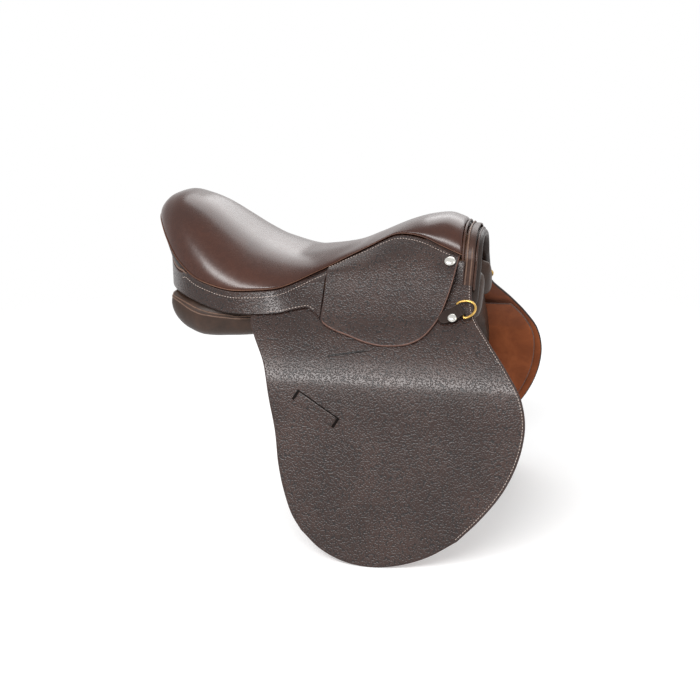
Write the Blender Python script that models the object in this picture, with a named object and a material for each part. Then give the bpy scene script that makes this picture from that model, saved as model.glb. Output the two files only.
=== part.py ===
"""A polo saddle: leather over foam on a laminated wooden tree, with flaps, panels and girth straps.

Metres. +X is forward, +Y is the near (left) side and +Z is up. The origin is on the rack ridge that
carries the saddle, in the channel between the two panels. Every height is measured from there.
"""

import math

import bpy
import numpy as np

# Clearances
GAP = 0.0003
RUNNING_GAP = 0.0005

# Seat: plan and heights
CANTLE_REACH = 0.288
POMMEL_REACH = 0.176
WIDEST_PLACE = -0.136
TWIST_PLACE = 0.075
SEAT_HALF_WIDTH = 0.145
TWIST_HALF_WIDTH = 0.056
POMMEL_HALF_WIDTH = 0.072
CANTLE_RIM_HEIGHT = 0.150
CANTLE_HEIGHT = 0.180
CANTLE_INSIDE = -0.262
DIP_PLACE = -0.059
DIP_HEIGHT = 0.0957
TWIST_HEIGHT = 0.1345
POMMEL_HEIGHT = 0.1556
EDGE_HEIGHT = 0.059

# Seat: layers under the leather
COVER_THICKNESS = 0.0025
FOAM_DEPTH = 0.011
FOAM_GAP = 0.0012
WEBBING_THICKNESS = 0.002
WEBBING_GAP = 0.0014
WEBBING_SHARE = 0.55
TREE_DEPTH = 0.0056
TREE_THICKNESS = 0.011
TREE_INSET = 0.020
TREE_BEVEL = 0.004
IRON_GAP = 0.0018
HEAD_PLATE_GAP = 0.0010

# Side of the saddle: outer face of the flap, half-width at each height
SIDE_CURVE = (
    (0.122, 0.078),
    (0.090, 0.092),
    (0.060, 0.112),
    (0.030, 0.140),
    (0.000, 0.172),
    (-0.030, 0.195),
    (-0.058, 0.2095),
)
SIDE_LEAN = 0.246
SIDE_FOOT = -0.340

# Leather and cloth
FLAP_THICKNESS = 0.004
SKIRT_THICKNESS = 0.0032
SWEAT_FLAP_THICKNESS = 0.003
STRAP_THICKNESS = 0.0037
WEB_THICKNESS = 0.0017
POCKET_THICKNESS = 0.0022
BAND_THICKNESS = 0.003
CHAPE_THICKNESS = 0.002
STRAP_ROOM = 0.0023

# Flaps and skirts
FLAP_HINGE_HEIGHT = -0.018
SKIRT_HINGE_HEIGHT = 0.074
SKIRT_STAND = 0.0072
SKIRT_CROWN = 0.003
SKIRT_REAR = -0.0125
FLAP_TOP_HEIGHT = 0.070
FLAP_NOTCH_HEIGHT = 0.043
FLAP_FOOT = -0.294

# Girth straps
STRAP_WIDTH = 0.028
STRAP_SPACING = 0.052
FRONT_STRAP_PLACE = 0.095
STRAP_PIVOT_HEIGHT = -0.074
STRAP_LENGTH = 0.150
WEB_HEAD_HEIGHT = 0.070
WEB_REAR = -0.011

# Strap keeper
KEEPER_BACK, KEEPER_BACK_HEIGHT = -0.032, -0.0735
KEEPER_FRONT, KEEPER_FRONT_HEIGHT = 0.0215, -0.1055
KEEPER_WIDTH = 0.014
KEEPER_THICKNESS = 0.0018

# Stirrup bars
BAR_BACK = 0.046
BAR_FRONT = 0.116
BAR_ARM = 0.012
BAR_WIDTH = 0.012
BAR_SLOT = 0.0085
BAR_THICKNESS = 0.0055
BAR_STAND = 0.0020
BAR_PLATE_RISE = 0.024
BAR_SLOPE = math.radians(45)
CATCH_LENGTH = 0.026
PIN_RADIUS = 0.0015

# Nails and dees
UPPER_NAIL_PLACE = POMMEL_REACH - 0.014
UPPER_NAIL_RADIUS = 0.0085
LOWER_NAIL_PLACE = 0.173
LOWER_NAIL_HEIGHT = 0.0275
LOWER_NAIL_RADIUS = 0.007
NAIL_DOME = 0.004
SHANK_RADIUS = 0.0015
DEE_OFFSET = 0.015
DEE_SHIFT = 0.006
DEE_TURN = math.radians(28)
DEE_BAR_HALF = 0.0143
DEE_REACH = 0.0215
DEE_WIRE_RADIUS = 0.00175
CHAPE_WIDTH = 0.020

# Tree points
POINT_BACK = 0.124
POINT_FRONT = 0.178
POINT_FOOT = 0.008
POINT_THICKNESS = 0.0067

# Seams
WELT_RADIUS = 0.002
WELT_ROOM = 0.0066
SEAM_CLEARANCE = 0.0042
SEAM_CLEARANCE_BEHIND = 0.0064
HEAD_FACING_WIDTH = 0.0145
FACING_DROP = 0.050

# Rear band: (place, height) along its foot
BAND_FRONT = -0.014
BAND_FOOT = (
    (-CANTLE_REACH, 0.046),
    (-0.250, 0.0435),
    (-0.222, 0.040),
    (-0.190, 0.0315),
    (-0.151, 0.0238),
    (-0.119, 0.0235),
    (-0.090, 0.0245),
    (-0.077, 0.0257),
    (-0.048, 0.032),
    (-0.034, 0.0345),
    (-0.023, 0.0296),
    (BAND_FRONT, 0.0215),
)

# Outlines on the side: (height, place) down each edge
SKIRT_FRONT = (
    (SKIRT_HINGE_HEIGHT, 0.171),
    (0.051, 0.164),
    (0.021, 0.150),
    (0.003, 0.132),
    (-0.0065, 0.098),
)
SKIRT_BACK = (
    (SKIRT_HINGE_HEIGHT, SKIRT_REAR),
    (0.0205, SKIRT_REAR),
    (0.0163, -0.0077),
    (0.0100, 0.0061),
    (0.0034, 0.030),
    (-0.005, 0.063),
    (-0.0065, 0.072),
)
FLAP_FRONT = (
    (0.092, 0.193),
    (0.052, 0.197),
    (0.031, 0.204),
    (0.014, 0.218),
    (-0.010, 0.239),
    (-0.030, 0.255),
    (-0.065, 0.276),
    (-0.096, 0.282),
    (-0.122, 0.280),
    (-0.152, 0.272),
    (-0.182, 0.258),
    (-0.221, 0.229),
    (-0.253, 0.198),
    (-0.275, 0.163),
    (-0.288, 0.127),
    (-0.294, 0.102),
)
FLAP_BACK = (
    (0.080, -0.108),
    (0.017, -0.114),
    (0.000, -0.104),
    (-0.032, -0.085),
    (-0.081, -0.072),
    (-0.121, -0.062),
    (-0.170, -0.054),
    (-0.205, -0.044),
    (-0.242, -0.026),
    (-0.269, -0.002),
    (-0.288, 0.031),
    (-0.294, 0.052),
)
SWEAT_FRONT = (
    (0.010, 0.210),
    (-0.005, 0.232),
    (-0.030, 0.252),
    (-0.065, 0.268),
    (-0.100, 0.270),
    (-0.150, 0.258),
    (-0.190, 0.235),
    (-0.225, 0.200),
    (-0.240, 0.170),
)
SWEAT_BACK = (
    (0.010, -0.070),
    (-0.060, -0.062),
    (-0.150, -0.044),
    (-0.205, -0.024),
    (-0.235, 0.010),
    (-0.240, 0.040),
)
PANEL_FRONT = (
    (0.046, 0.1957),
    (0.000, 0.1974),
    (-0.060, 0.201),
    (-0.100, 0.202),
    (-0.150, 0.198),
    (-0.190, 0.187),
    (-0.225, 0.168),
    (-0.243, 0.145),
)
PANEL_BACK = (
    (0.046, -0.100),
    (0.000, -0.090),
    (-0.060, -0.066),
    (-0.150, -0.047),
    (-0.205, -0.027),
    (-0.238, 0.008),
    (-0.243, 0.036),
)

# Panels
PANEL_SIDES = 16
PANEL_STATIONS = (
    # place, middle half-width, middle height, half-breadth, half-depth, slope in degrees
    (-0.253, 0.068, 0.030, 0.026, 0.015, 10),
    (-0.241, 0.072, 0.023, 0.036, 0.024, 12),
    (-0.205, 0.079, 0.015, 0.046, 0.031, 16),
    (-0.150, 0.083, 0.018, 0.049, 0.031, 20),
    (-0.080, 0.080, 0.020, 0.047, 0.024, 26),
    (-0.020, 0.077, 0.026, 0.046, 0.021, 32),
    (0.040, 0.072, 0.037, 0.046, 0.020, 38),
    (0.100, 0.069, 0.046, 0.047, 0.020, 46),
    (0.160, 0.067, 0.056, 0.047, 0.021, 51),
    (0.198, 0.067, 0.055, 0.044, 0.020, 52),
    (0.210, 0.067, 0.052, 0.036, 0.013, 52),
)


def smooth(stations):
    """A curve through (place, value) stations that never swings past them."""
    place, value = np.array(stations, float).T
    step = np.diff(place)
    slope = np.diff(value) / step
    before, after = slope[:-1], slope[1:]
    same_way = before * after > 0
    middle = np.where(same_way, 2 * before * after / np.where(same_way, before + after, 1), 0)
    tangent = np.concatenate([slope[:1], middle, slope[-1:]])

    def at(x):
        x = np.clip(np.asarray(x, float), place[0], place[-1])
        k = np.clip(np.searchsorted(place, x, side="right") - 1, 0, len(step) - 1)
        t = (x - place[k]) / step[k]
        from_start = (1 + 2 * t) * (1 - t) ** 2 * value[k] + t * (1 - t) ** 2 * step[k] * tangent[k]
        to_end = t**2 * (3 - 2 * t) * value[k + 1] - t**2 * (1 - t) * step[k] * tangent[k + 1]
        return from_start + to_end

    return at


def material(name, colour, roughness, metallic=0.0):
    """A finish: sRGB colour as 0 to 1 values, made linear for the shader."""
    finish = bpy.data.materials.new(name)
    finish.use_nodes = True
    shader = finish.node_tree.nodes["Principled BSDF"]
    linear = [((c + 0.055) / 1.055) ** 2.4 for c in colour]
    shader.inputs["Base Color"].default_value = (*linear, 1)
    shader.inputs["Roughness"].default_value = roughness
    shader.inputs["Metallic"].default_value = metallic
    return finish


def body(name, points, faces, finish, pivot=(0, 0, 0)):
    """A closed mesh as a named object, its faces turned outwards and its origin on its pivot."""
    points = np.asarray(points, float)
    middle = points.mean(axis=0)
    volume = 0
    for face in faces:
        corner = points[list(face)] - middle
        for i in range(1, len(face) - 1):
            volume += np.dot(corner[0], np.cross(corner[i], corner[i + 1]))
    if volume < 0:
        faces = [tuple(reversed(face)) for face in faces]
    mesh = bpy.data.meshes.new(name)
    mesh.from_pydata((points - pivot).tolist(), [], [tuple(map(int, face)) for face in faces])
    mesh.update()
    mesh.shade_smooth()
    mesh.set_sharp_from_angle(angle=math.radians(35))
    piece = bpy.data.objects.new(name, mesh)
    piece.location = pivot
    piece.data.materials.append(finish)
    bpy.context.scene.collection.objects.link(piece)
    return piece


def plate(outer, inner, cells):
    """Points and faces of the body between two like lists of points, walled round its cells' edges."""
    count = len(outer)
    edges = {(cell[i], cell[(i + 1) % len(cell)]) for cell in cells for i in range(len(cell))}
    faces = list(cells) + [tuple(i + count for i in reversed(cell)) for cell in cells]
    for start, end in sorted(edges):
        if (end, start) not in edges:
            faces.append((end, start, start + count, end + count))
    return np.concatenate([outer, inner]), faces


def grid_cells(index):
    """The cells of a grid of point numbers, row by row."""
    rows, columns = index.shape
    return [
        (int(index[r, c]), int(index[r, c + 1]), int(index[r + 1, c + 1]), int(index[r + 1, c]))
        for r in range(rows - 1)
        for c in range(columns - 1)
    ]


def slab(outer, inner):
    """Points and faces of the body between two like grids of points."""
    index = np.arange(outer.shape[0] * outer.shape[1]).reshape(outer.shape[:2])
    return plate(outer.reshape(-1, 3), inner.reshape(-1, 3), grid_cells(index))


def loft(rings, closed=False):
    """Points and faces of a skin over rings of points, capped at both ends or joined round."""
    rings = np.asarray(rings, float)
    count, around = rings.shape[:2]
    index = np.arange(count * around).reshape(count, around)
    faces = []
    for r in range(count if closed else count - 1):
        following = index[(r + 1) % count]
        for k in range(around):
            n = (k + 1) % around
            faces.append((index[r, k], index[r, n], following[n], following[k]))
    if not closed:
        faces.append(tuple(index[0, ::-1]))
        faces.append(tuple(index[-1]))
    return rings.reshape(-1, 3), faces


def tube(path, radius, sides, closed=False):
    """A round cord along a path: each ring lies square to the path there."""
    path = np.asarray(path, float)
    if closed:
        along = np.roll(path, -1, axis=0) - np.roll(path, 1, axis=0)
    else:
        along = np.gradient(path, axis=0)
    along /= np.linalg.norm(along, axis=1)[:, None]
    reference = np.array([1.0, 0.0, 0.0]) if abs(along[:, 0]).max() < 0.9 else None
    rings = []
    across = None
    for point, direction in zip(path, along):
        guide = reference if reference is not None else (across if across is not None else (0, 0, 1))
        across = np.cross(direction, np.cross(guide, direction))
        across /= np.linalg.norm(across)
        other = np.cross(direction, across)
        angle = np.arange(sides) * 2 * math.pi / sides
        rings.append(point + radius * (np.outer(np.cos(angle), across) + np.outer(np.sin(angle), other)))
    return loft(rings, closed)


def change(piece, tool, operation):
    """Cuts a piece by a tool, or joins the tool to it. The tool itself isn't part of the object."""
    tool.hide_render = True
    tool.display_type = "WIRE"
    modifier = piece.modifiers.new(operation.title(), "BOOLEAN")
    modifier.operation = operation
    modifier.solver = "EXACT"
    modifier.object = tool


def cylinder(name, centre, axis, radius, start, end, finish, sides=12):
    """A round pin or cutter about an axis, from start to end along it."""
    axis = np.asarray(axis, float)
    path = np.array([np.asarray(centre) + axis * start, np.asarray(centre) + axis * end])
    across = np.cross(axis, (1, 0, 0) if abs(axis[0]) < 0.9 else (0, 0, 1))
    across /= np.linalg.norm(across)
    other = np.cross(axis, across)
    angle = np.arange(sides) * 2 * math.pi / sides
    ring = radius * (np.outer(np.cos(angle), across) + np.outer(np.sin(angle), other))
    return body(name, *loft([path[0] + ring, path[1] + ring]), finish)


class SideFace:
    """The flap's outer face in cross-section, as a chain of straight steps.

    A point is given by its distance down the face and its lift out from it. Layers at different
    lifts share the steps, so they stay parallel.
    """

    def __init__(self):
        heights = [height for height, _ in SIDE_CURVE]
        width_at = smooth([(-height, width) for height, width in SIDE_CURVE])
        height = np.linspace(heights[0], heights[-1], 19)
        width = width_at(-height)
        height = np.append(height, SIDE_FOOT)
        width = np.append(width, width[-1] + (heights[-1] - SIDE_FOOT) * SIDE_LEAN)
        self.points = np.stack([width, height], axis=1)
        step = np.diff(self.points, axis=0)
        length = np.linalg.norm(step, axis=1)
        self.distance = np.concatenate([[0], np.cumsum(length)])
        normal = np.stack([-step[:, 1], step[:, 0]], axis=1) / length[:, None]
        first, last = normal[:1], normal[-1:]
        before, after = np.concatenate([first, normal]), np.concatenate([normal, last])
        self.mitre = (before + after) / (1 + np.sum(before * after, axis=1))[:, None]
        self.normal = normal

    def down(self, height):
        """Distance down the face at a height."""
        return np.interp(-np.asarray(height), -self.points[:, 1], self.distance)

    def at(self, distance, lift):
        """(half-width, height) at a distance down the face and a lift out from it."""
        distance, lift = np.broadcast_arrays(np.asarray(distance, float), np.asarray(lift, float))
        base = [np.interp(distance, self.distance, self.points[:, i]) for i in (0, 1)]
        out = [np.interp(distance, self.distance, self.mitre[:, i]) for i in (0, 1)]
        return base[0] + lift * out[0], base[1] + lift * out[1]


SIDE = SideFace()


def lean_ways():
    """The way down and the way out of the straight lower part of the side, as (half-width, height)."""
    return np.array([[SIDE_LEAN, -1.0], [1.0, SIDE_LEAN]]) / math.hypot(SIDE_LEAN, 1)


def side_grid(rows, edges, lift):
    """Grid of points on the side: one row for each distance, from its back to its front edge."""
    back, front = edges
    width, height = SIDE.at(rows, lift)
    x = np.stack([back, front], axis=1)
    return np.stack([x, np.tile(width[:, None], 2), np.tile(height[:, None], 2)], axis=2)


def outline_rows(top, bottom, extra_heights=()):
    """Distances down the side where a sheet bends or its outline has a point."""
    bends = [d for d in SIDE.distance if top + 0.001 < d < bottom - 0.001]
    rows = sorted([top, bottom, *bends])
    for height in extra_heights:
        distance = float(SIDE.down(height))
        if min(abs(distance - row) for row in rows) > 0.0012 and top < distance < bottom:
            rows.append(distance)
    return np.array(sorted(rows))


def edge_at(stations, rows):
    """Place of an edge, given as (height, place) stations, at distances down the side."""
    heights = np.interp(rows, SIDE.distance, SIDE.points[:, 1])
    return smooth([(-height, place) for height, place in stations])(-heights)


def mirrored(points, sign):
    return points * np.array([1, sign, 1])


def side_sheet(name, back, front, top, bottom, low, high, finish, sign, heights=(), round_top=False):
    """Leather or cloth bent over the side, from lift low to lift high, between two edges.

    With round_top its top edge is a half round about its own middle, so that it can turn there.
    """
    rows = outline_rows(top, bottom, heights)
    low_rows, high_rows = (lift(rows) if callable(lift) else np.full(len(rows), lift) for lift in (low, high))
    edges = (edge_at(back, rows), edge_at(front, rows))
    if round_top:
        radius = (high_rows[0] - low_rows[0]) / 2
        middle = (high_rows[0] + low_rows[0]) / 2
        angle = np.radians([80, 50, 25])
        over = rows[0] - radius * np.sin(angle)
        half = radius * np.cos(angle)
        rows = np.concatenate([over, rows])
        high_rows = np.concatenate([middle + half, high_rows])
        low_rows = np.concatenate([middle - half, low_rows])
        edges = [np.concatenate([np.full(3, edge[0]), edge]) for edge in edges]
    outer = side_grid(rows, edges, high_rows)
    inner = side_grid(rows, edges, low_rows)
    points, faces = slab(outer, inner)
    pivot = (0, 0, 0)
    if round_top:
        width, height = SIDE.at(top, (low_rows[3] + high_rows[3]) / 2)
        pivot = (0, float(width) * sign, float(height))
    return body(name, mirrored(points, sign), faces, finish, pivot)


# Seat surface


def seat_half_width(x):
    """Half-width of the seat seam in plan: an ellipse behind its widest place, then a waist."""
    ahead = smooth(
        (
            (WIDEST_PLACE, SEAT_HALF_WIDTH),
            (-0.086, SEAT_HALF_WIDTH - 0.009),
            (-0.027, TWIST_HALF_WIDTH + 0.038),
            (0.018, TWIST_HALF_WIDTH + 0.013),
            (TWIST_PLACE, TWIST_HALF_WIDTH),
            (TWIST_PLACE + 0.025, TWIST_HALF_WIDTH + 0.003),
            (0.131, POMMEL_HALF_WIDTH - 0.004),
            (POMMEL_REACH, POMMEL_HALF_WIDTH),
        )
    )
    reach = CANTLE_REACH + WIDEST_PLACE
    share = np.clip((WIDEST_PLACE - np.asarray(x, float)) / reach, 0, 1)
    return np.where(x < WIDEST_PLACE, SEAT_HALF_WIDTH * np.sqrt(1 - share**2), ahead(x))


def seam_height():
    """Height of the seat seam along the saddle."""
    return smooth(
        (
            (-CANTLE_REACH, CANTLE_RIM_HEIGHT),
            (-CANTLE_REACH + 0.007, CANTLE_RIM_HEIGHT - 0.003),
            (-0.254, 0.116),
            (-0.234, 0.094),
            (-0.195, EDGE_HEIGHT + 0.011),
            (WIDEST_PLACE, EDGE_HEIGHT),
            (-0.086, EDGE_HEIGHT + 0.0025),
            (-0.027, EDGE_HEIGHT + 0.023),
            (0.014, TWIST_HEIGHT - 0.0327),
            (0.045, TWIST_HEIGHT - 0.0175),
            (TWIST_PLACE - 0.012, TWIST_HEIGHT - 0.0081),
            (TWIST_PLACE + 0.004, TWIST_HEIGHT - 0.0015),
            (TWIST_PLACE + 0.015, TWIST_HEIGHT),
            (TWIST_PLACE + 0.028, TWIST_HEIGHT - 0.0006),
            (0.122, TWIST_HEIGHT - 0.0037),
            (POMMEL_REACH - 0.030, TWIST_HEIGHT - 0.0138),
            (POMMEL_REACH - 0.008, TWIST_HEIGHT - 0.0228),
            (POMMEL_REACH, TWIST_HEIGHT - 0.026),
            (POMMEL_REACH + 0.022, TWIST_HEIGHT - 0.035),
        )
    )


def crown_height():
    """Height of the seat along its middle."""
    return smooth(
        (
            (-CANTLE_REACH, CANTLE_RIM_HEIGHT),
            (-CANTLE_REACH + 0.008, CANTLE_RIM_HEIGHT + 0.0145),
            (-0.265, CANTLE_HEIGHT - 0.0035),
            (-0.249, CANTLE_HEIGHT),
            (-0.225, CANTLE_HEIGHT - 0.0065),
            (-0.202, CANTLE_HEIGHT - 0.017),
            (-0.170, DIP_HEIGHT + 0.0468),
            (-0.139, DIP_HEIGHT + 0.0268),
            (-0.110, DIP_HEIGHT + 0.0123),
            (DIP_PLACE, DIP_HEIGHT),
            (-0.027, DIP_HEIGHT + 0.0036),
            (0.018, DIP_HEIGHT + 0.0143),
            (0.045, TWIST_HEIGHT - 0.014),
            (TWIST_PLACE, TWIST_HEIGHT),
            (0.100, POMMEL_HEIGHT - 0.0103),
            (0.120, POMMEL_HEIGHT - 0.0043),
            (POMMEL_REACH - 0.026, POMMEL_HEIGHT),
            (POMMEL_REACH - 0.011, POMMEL_HEIGHT - 0.004),
            (POMMEL_REACH, POMMEL_HEIGHT - 0.0088),
            (POMMEL_REACH + 0.022, POMMEL_HEIGHT - 0.0216),
        )
    )


SEAM = seam_height()
CROWN = crown_height()


def under_seam(x):
    """Height of what is sewn under the seat seam: it keeps further below it where the seam is steep."""
    clearance = smooth(((-0.250, SEAM_CLEARANCE_BEHIND), (-0.195, SEAM_CLEARANCE), (0.200, SEAM_CLEARANCE)))
    return SEAM(x) - clearance(x)


def seat_shell(x, across, inset, drop, rim_drop):
    """Points of a layer of the seat: across runs from -1 to 1 between its edges.

    The layer lies inset from the seam, drop under the leather in the middle and rim_drop at its rim.
    """
    x, across = np.meshgrid(np.asarray(x, float), np.asarray(across, float), indexing="ij")
    wide = seat_half_width(x)
    share = np.clip((CANTLE_INSIDE - x) / (CANTLE_REACH + CANTLE_INSIDE), 0, 1)
    place = x + inset * share**2 * (3 - 2 * share)
    half = wide - inset * np.clip(wide / 0.03, 0, 1)
    rim = SEAM(x) - rim_drop
    crown = CROWN(x) - drop
    height = rim + (crown - rim) * (1 - np.abs(across) ** 3) ** 0.6
    return np.stack([place, across * half, height], axis=2)


def seat_places(count, front):
    """Places along the seat, closer together round the cantle."""
    behind = WIDEST_PLACE - (CANTLE_REACH + WIDEST_PLACE) * np.cos(np.radians([4, 18, 32, 46, 60, 75]))
    return np.concatenate([behind, np.linspace(WIDEST_PLACE, front, count)])


def seat_columns(count):
    """Shares across the seat, closer together at its rolled sides."""
    return np.sin(np.linspace(-math.pi / 2, math.pi / 2, count))


def make_seat(finishes):
    """Cover, foam, stretched webbing, welts and facing of the pommel."""
    columns = seat_columns(13)
    places = seat_places(15, POMMEL_REACH)
    cover = slab(
        seat_shell(places, columns, 0, 0, 0),
        seat_shell(places, columns, COVER_THICKNESS, COVER_THICKNESS, COVER_THICKNESS),
    )
    body("seat_cover", *cover, finishes["seat"])
    top = COVER_THICKNESS + FOAM_GAP
    foam = slab(
        seat_shell(places, columns, 0.010, top, top),
        seat_shell(places, columns, 0.014, top + FOAM_DEPTH, 0.0062),
    )
    body("seat_foam", *foam, finishes["foam"])
    web_places = np.linspace(-0.215, 0.108, 22)
    shares = np.linspace(-WEBBING_SHARE, WEBBING_SHARE, 9)
    x, share = np.meshgrid(web_places, shares, indexing="ij")
    y = share * tree_half_width(x)
    height = tree_top(x, y)
    body("seat_webbing", *strip(x, y, height, WEBBING_GAP, WEBBING_GAP + WEBBING_THICKNESS), finishes["webbing"])


def tree_edge():
    """Lower outer corner of the tree beside the waist, on the lift of its points."""
    width, height = SIDE.at(SIDE.down(SKIRT_HINGE_HEIGHT - 0.004), point_lift())
    return float(width), float(height)


def point_lift():
    """Lift of the outer face of the tree points: under the flap, a pocket and two gaps."""
    return -(FLAP_THICKNESS + GAP + POCKET_THICKNESS + GAP)


def panel_lift():
    """Lift of the panels' outer face: under the points and under the sweat flaps."""
    return point_lift() - POINT_THICKNESS - GAP


def tree_half_width(x):
    """Half-width of the tree: inside the seat seam behind, out to the stirrup bars ahead."""
    reach = CANTLE_REACH + WIDEST_PLACE
    share = np.clip((WIDEST_PLACE - x) / (reach - TREE_INSET), 0, 1)
    behind = (SEAT_HALF_WIDTH - TREE_INSET) * np.sqrt(1 - share**2)
    edge = tree_edge()[0]
    blend = smooth(((WIDEST_PLACE, SEAT_HALF_WIDTH - TREE_INSET), (-0.086, 0.112), (-0.055, edge), (0.2, edge)))
    return np.where(x < WIDEST_PLACE, behind, blend(x))


def tree_rim_height(x):
    low = tree_edge()[1]
    drop = WEBBING_THICKNESS + 0.012
    rim = smooth(
        (
            (-CANTLE_REACH + TREE_INSET, CANTLE_RIM_HEIGHT - drop),
            (-0.240, 0.116 - drop),
            (-0.220, 0.094 - drop),
            (-0.186, EDGE_HEIGHT + 0.011 - drop),
            (WIDEST_PLACE, EDGE_HEIGHT - drop),
            (-0.055, low - 0.008),
            (-0.020, low),
            (0.2, low),
        )
    )
    return rim(x)


def tree_top(x, y):
    """Height of the tree's upper face: arched over the head, flatter over the waist."""
    x = np.asarray(x, float)
    reach = CANTLE_REACH + WIDEST_PLACE
    full = np.where(x < WIDEST_PLACE, WIDEST_PLACE + (x - WIDEST_PLACE) * reach / (reach - TREE_INSET), x)
    crown = np.minimum(CROWN(full), CROWN(x)) - (COVER_THICKNESS + FOAM_GAP + FOAM_DEPTH + TREE_DEPTH)
    rim = tree_rim_height(x)
    power = smooth(((WIDEST_PLACE, 3.0), (TWIST_PLACE, 2.1), (0.150, 1.4), (0.2, 1.4)))(x)
    share = np.clip(np.abs(y) / tree_half_width(x), 0, 1)
    return rim + (crown - rim) * (1 - share**power)


def make_tree(finishes):
    """Laminated tree: one bent plate with an opening under the seat, and a point down each side."""
    reach = CANTLE_REACH + WIDEST_PLACE - TREE_INSET
    behind = WIDEST_PLACE - reach * np.cos(np.radians([8, 25, 42, 60, 76]))
    waist = np.linspace(WIDEST_PLACE, POINT_BACK, 14)
    head = np.linspace(POINT_BACK, POINT_FRONT, 5)
    places = np.concatenate([behind, waist, head[1:], [POINT_FRONT + 0.0015]])
    opening_end = 4
    opening_start = len(places) - len(head) - 2
    rim = 0.30 + 0.16 * np.clip((0.02 - places) / 0.16, 0, 1)
    middle = np.array([-1, -0.5, 0, 0.5, 1])
    outside = np.linspace(0, 1, 7)[1:]
    right = -(rim[:, None] + (1 - rim[:, None]) * outside[::-1])
    shares = np.concatenate([right, rim[:, None] * middle, -right[:, ::-1]], axis=1)
    half = tree_half_width(places)[:, None]
    x = np.tile(places[:, None], shares.shape[1])
    height = tree_top(x, shares * half)
    upper = np.stack([x, shares * half, height], axis=2)
    lower = np.stack([x, shares * (half - TREE_BEVEL), height - TREE_THICKNESS], axis=2)
    index = np.arange(upper.shape[0] * upper.shape[1]).reshape(upper.shape[:2])
    first, last = len(outside), len(outside) + len(middle) - 1
    cells = grid_cells(index[: opening_end + 1])
    cells += grid_cells(index[opening_end : opening_start + 1, : first + 1])
    cells += grid_cells(index[opening_end : opening_start + 1, last:])
    cells += grid_cells(index[opening_start:])
    outer, inner = upper.reshape(-1, 3), lower.reshape(-1, 3)
    rows = outline_rows(SIDE.down(SKIRT_HINGE_HEIGHT - 0.010), SIDE.down(POINT_FOOT))
    stations = [int(np.argmin(abs(places - place))) for place in head]
    for sign, column in ((1, shares.shape[1] - 1), (-1, 0)):
        start = len(outer)
        x = np.tile(head[:, None], len(rows))
        layers = []
        for lift in (point_lift(), point_lift() - POINT_THICKNESS):
            width, height = SIDE.at(rows, lift)
            layers.append(np.stack([x, np.tile(width * sign, (len(head), 1)), np.tile(height, (len(head), 1))], axis=2))
        outer = np.concatenate([outer, layers[0].reshape(-1, 3)])
        inner = np.concatenate([inner, layers[1].reshape(-1, 3)])
        added = start + np.arange(len(head) * len(rows)).reshape(len(head), len(rows))
        leg = np.concatenate([index[stations, column][:, None], added], axis=1)
        cells += grid_cells(leg if sign > 0 else leg[:, ::-1])
    return body("tree_frame", *plate(outer, inner, cells), finishes["wood"])


def tree_under(x, y):
    """Height of the tree's lower face, whose edges stand in from those of its upper face."""
    half = tree_half_width(x)
    return tree_top(x, y * half / (half - TREE_BEVEL)) - TREE_THICKNESS


def strip(x, y, height, low, high):
    """A plate that follows a face of the tree, from low to high above it."""
    return slab(*(np.stack([x, y, height + lift], axis=2) for lift in (high, low)))


def make_tree_irons(finishes):
    """Steel head plate over the head, gullet plate under it and a spring under each rail."""
    x, y = np.meshgrid([0.130, 0.148, 0.166], np.linspace(-0.052, 0.052, 13), indexing="ij")
    body("head_plate", *strip(x, y, tree_top(x, y), HEAD_PLATE_GAP, HEAD_PLATE_GAP + 0.0016), finishes["steel"])
    x, y = np.meshgrid([0.140, 0.156, 0.172], np.linspace(-0.056, 0.056, 13), indexing="ij")
    body("gullet_plate", *strip(x, y, tree_under(x, y), -IRON_GAP - 0.0025, -IRON_GAP), finishes["steel"])
    for side, sign in (("left", 1), ("right", -1)):
        middle = smooth(((-0.180, 0.080), (-0.100, 0.084), (0.0, 0.048), (0.122, 0.042)))
        places = np.linspace(-0.180, 0.122, 15)
        x, offset = np.meshgrid(places, [-0.007, 0.007], indexing="ij")
        y = middle(x) + offset
        points, faces = strip(x, y, tree_under(x, y), -IRON_GAP - 0.0015, -IRON_GAP)
        body(f"tree_spring_{side}", mirrored(points, sign), faces, finishes["steel"])


def make_pommel(finishes):
    """Facing round the front of the head and a welt along each edge of it."""
    columns = seat_columns(15)
    start = POMMEL_REACH + GAP + 2 * WELT_RADIUS + GAP
    places = [start, start + HEAD_FACING_WIDTH / 2, start + HEAD_FACING_WIDTH]

    def arch(x, depth, foot_width, foot_height):
        dome = seat_shell([x], columns, depth, depth, depth)[0]
        leg = np.linspace(0.2, 1, 4)[:, None]
        foot = np.array([x, foot_width - depth, foot_height])
        right = dome[0] * (1 - leg) + foot * [1, -1, 1] * leg
        left = dome[-1] * (1 - leg) + foot * leg
        return np.concatenate([right[::-1], dome, left])

    long_leg, short_leg = (0.103, 0.063), (0.090, 0.082)
    outer = np.stack([arch(x, 0, *long_leg) for x in places])
    inner = np.stack([arch(x, BAND_THICKNESS, *long_leg) for x in places])
    body("pommel_facing", *slab(outer, inner), finishes["skirt"])
    for name, place, leg in (
        ("pommel_welt_rear", POMMEL_REACH + GAP + WELT_RADIUS, short_leg),
        ("pommel_welt_front", places[-1] + GAP + WELT_RADIUS, long_leg),
    ):
        path = arch(place, WELT_RADIUS, *leg)
        body(name, *tube(path, WELT_RADIUS, 6), finishes["skirt"])


def plan_edge(x, inset):
    """Point of the seat seam in plan, moved square in from it."""
    step = 0.0005
    y = seat_half_width(x)
    tangent = np.stack([np.full_like(x, step), seat_half_width(x + step) - y], axis=1)
    tangent /= np.linalg.norm(tangent, axis=1)[:, None]
    return x + inset * tangent[:, 1], y - inset * tangent[:, 0]


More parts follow.
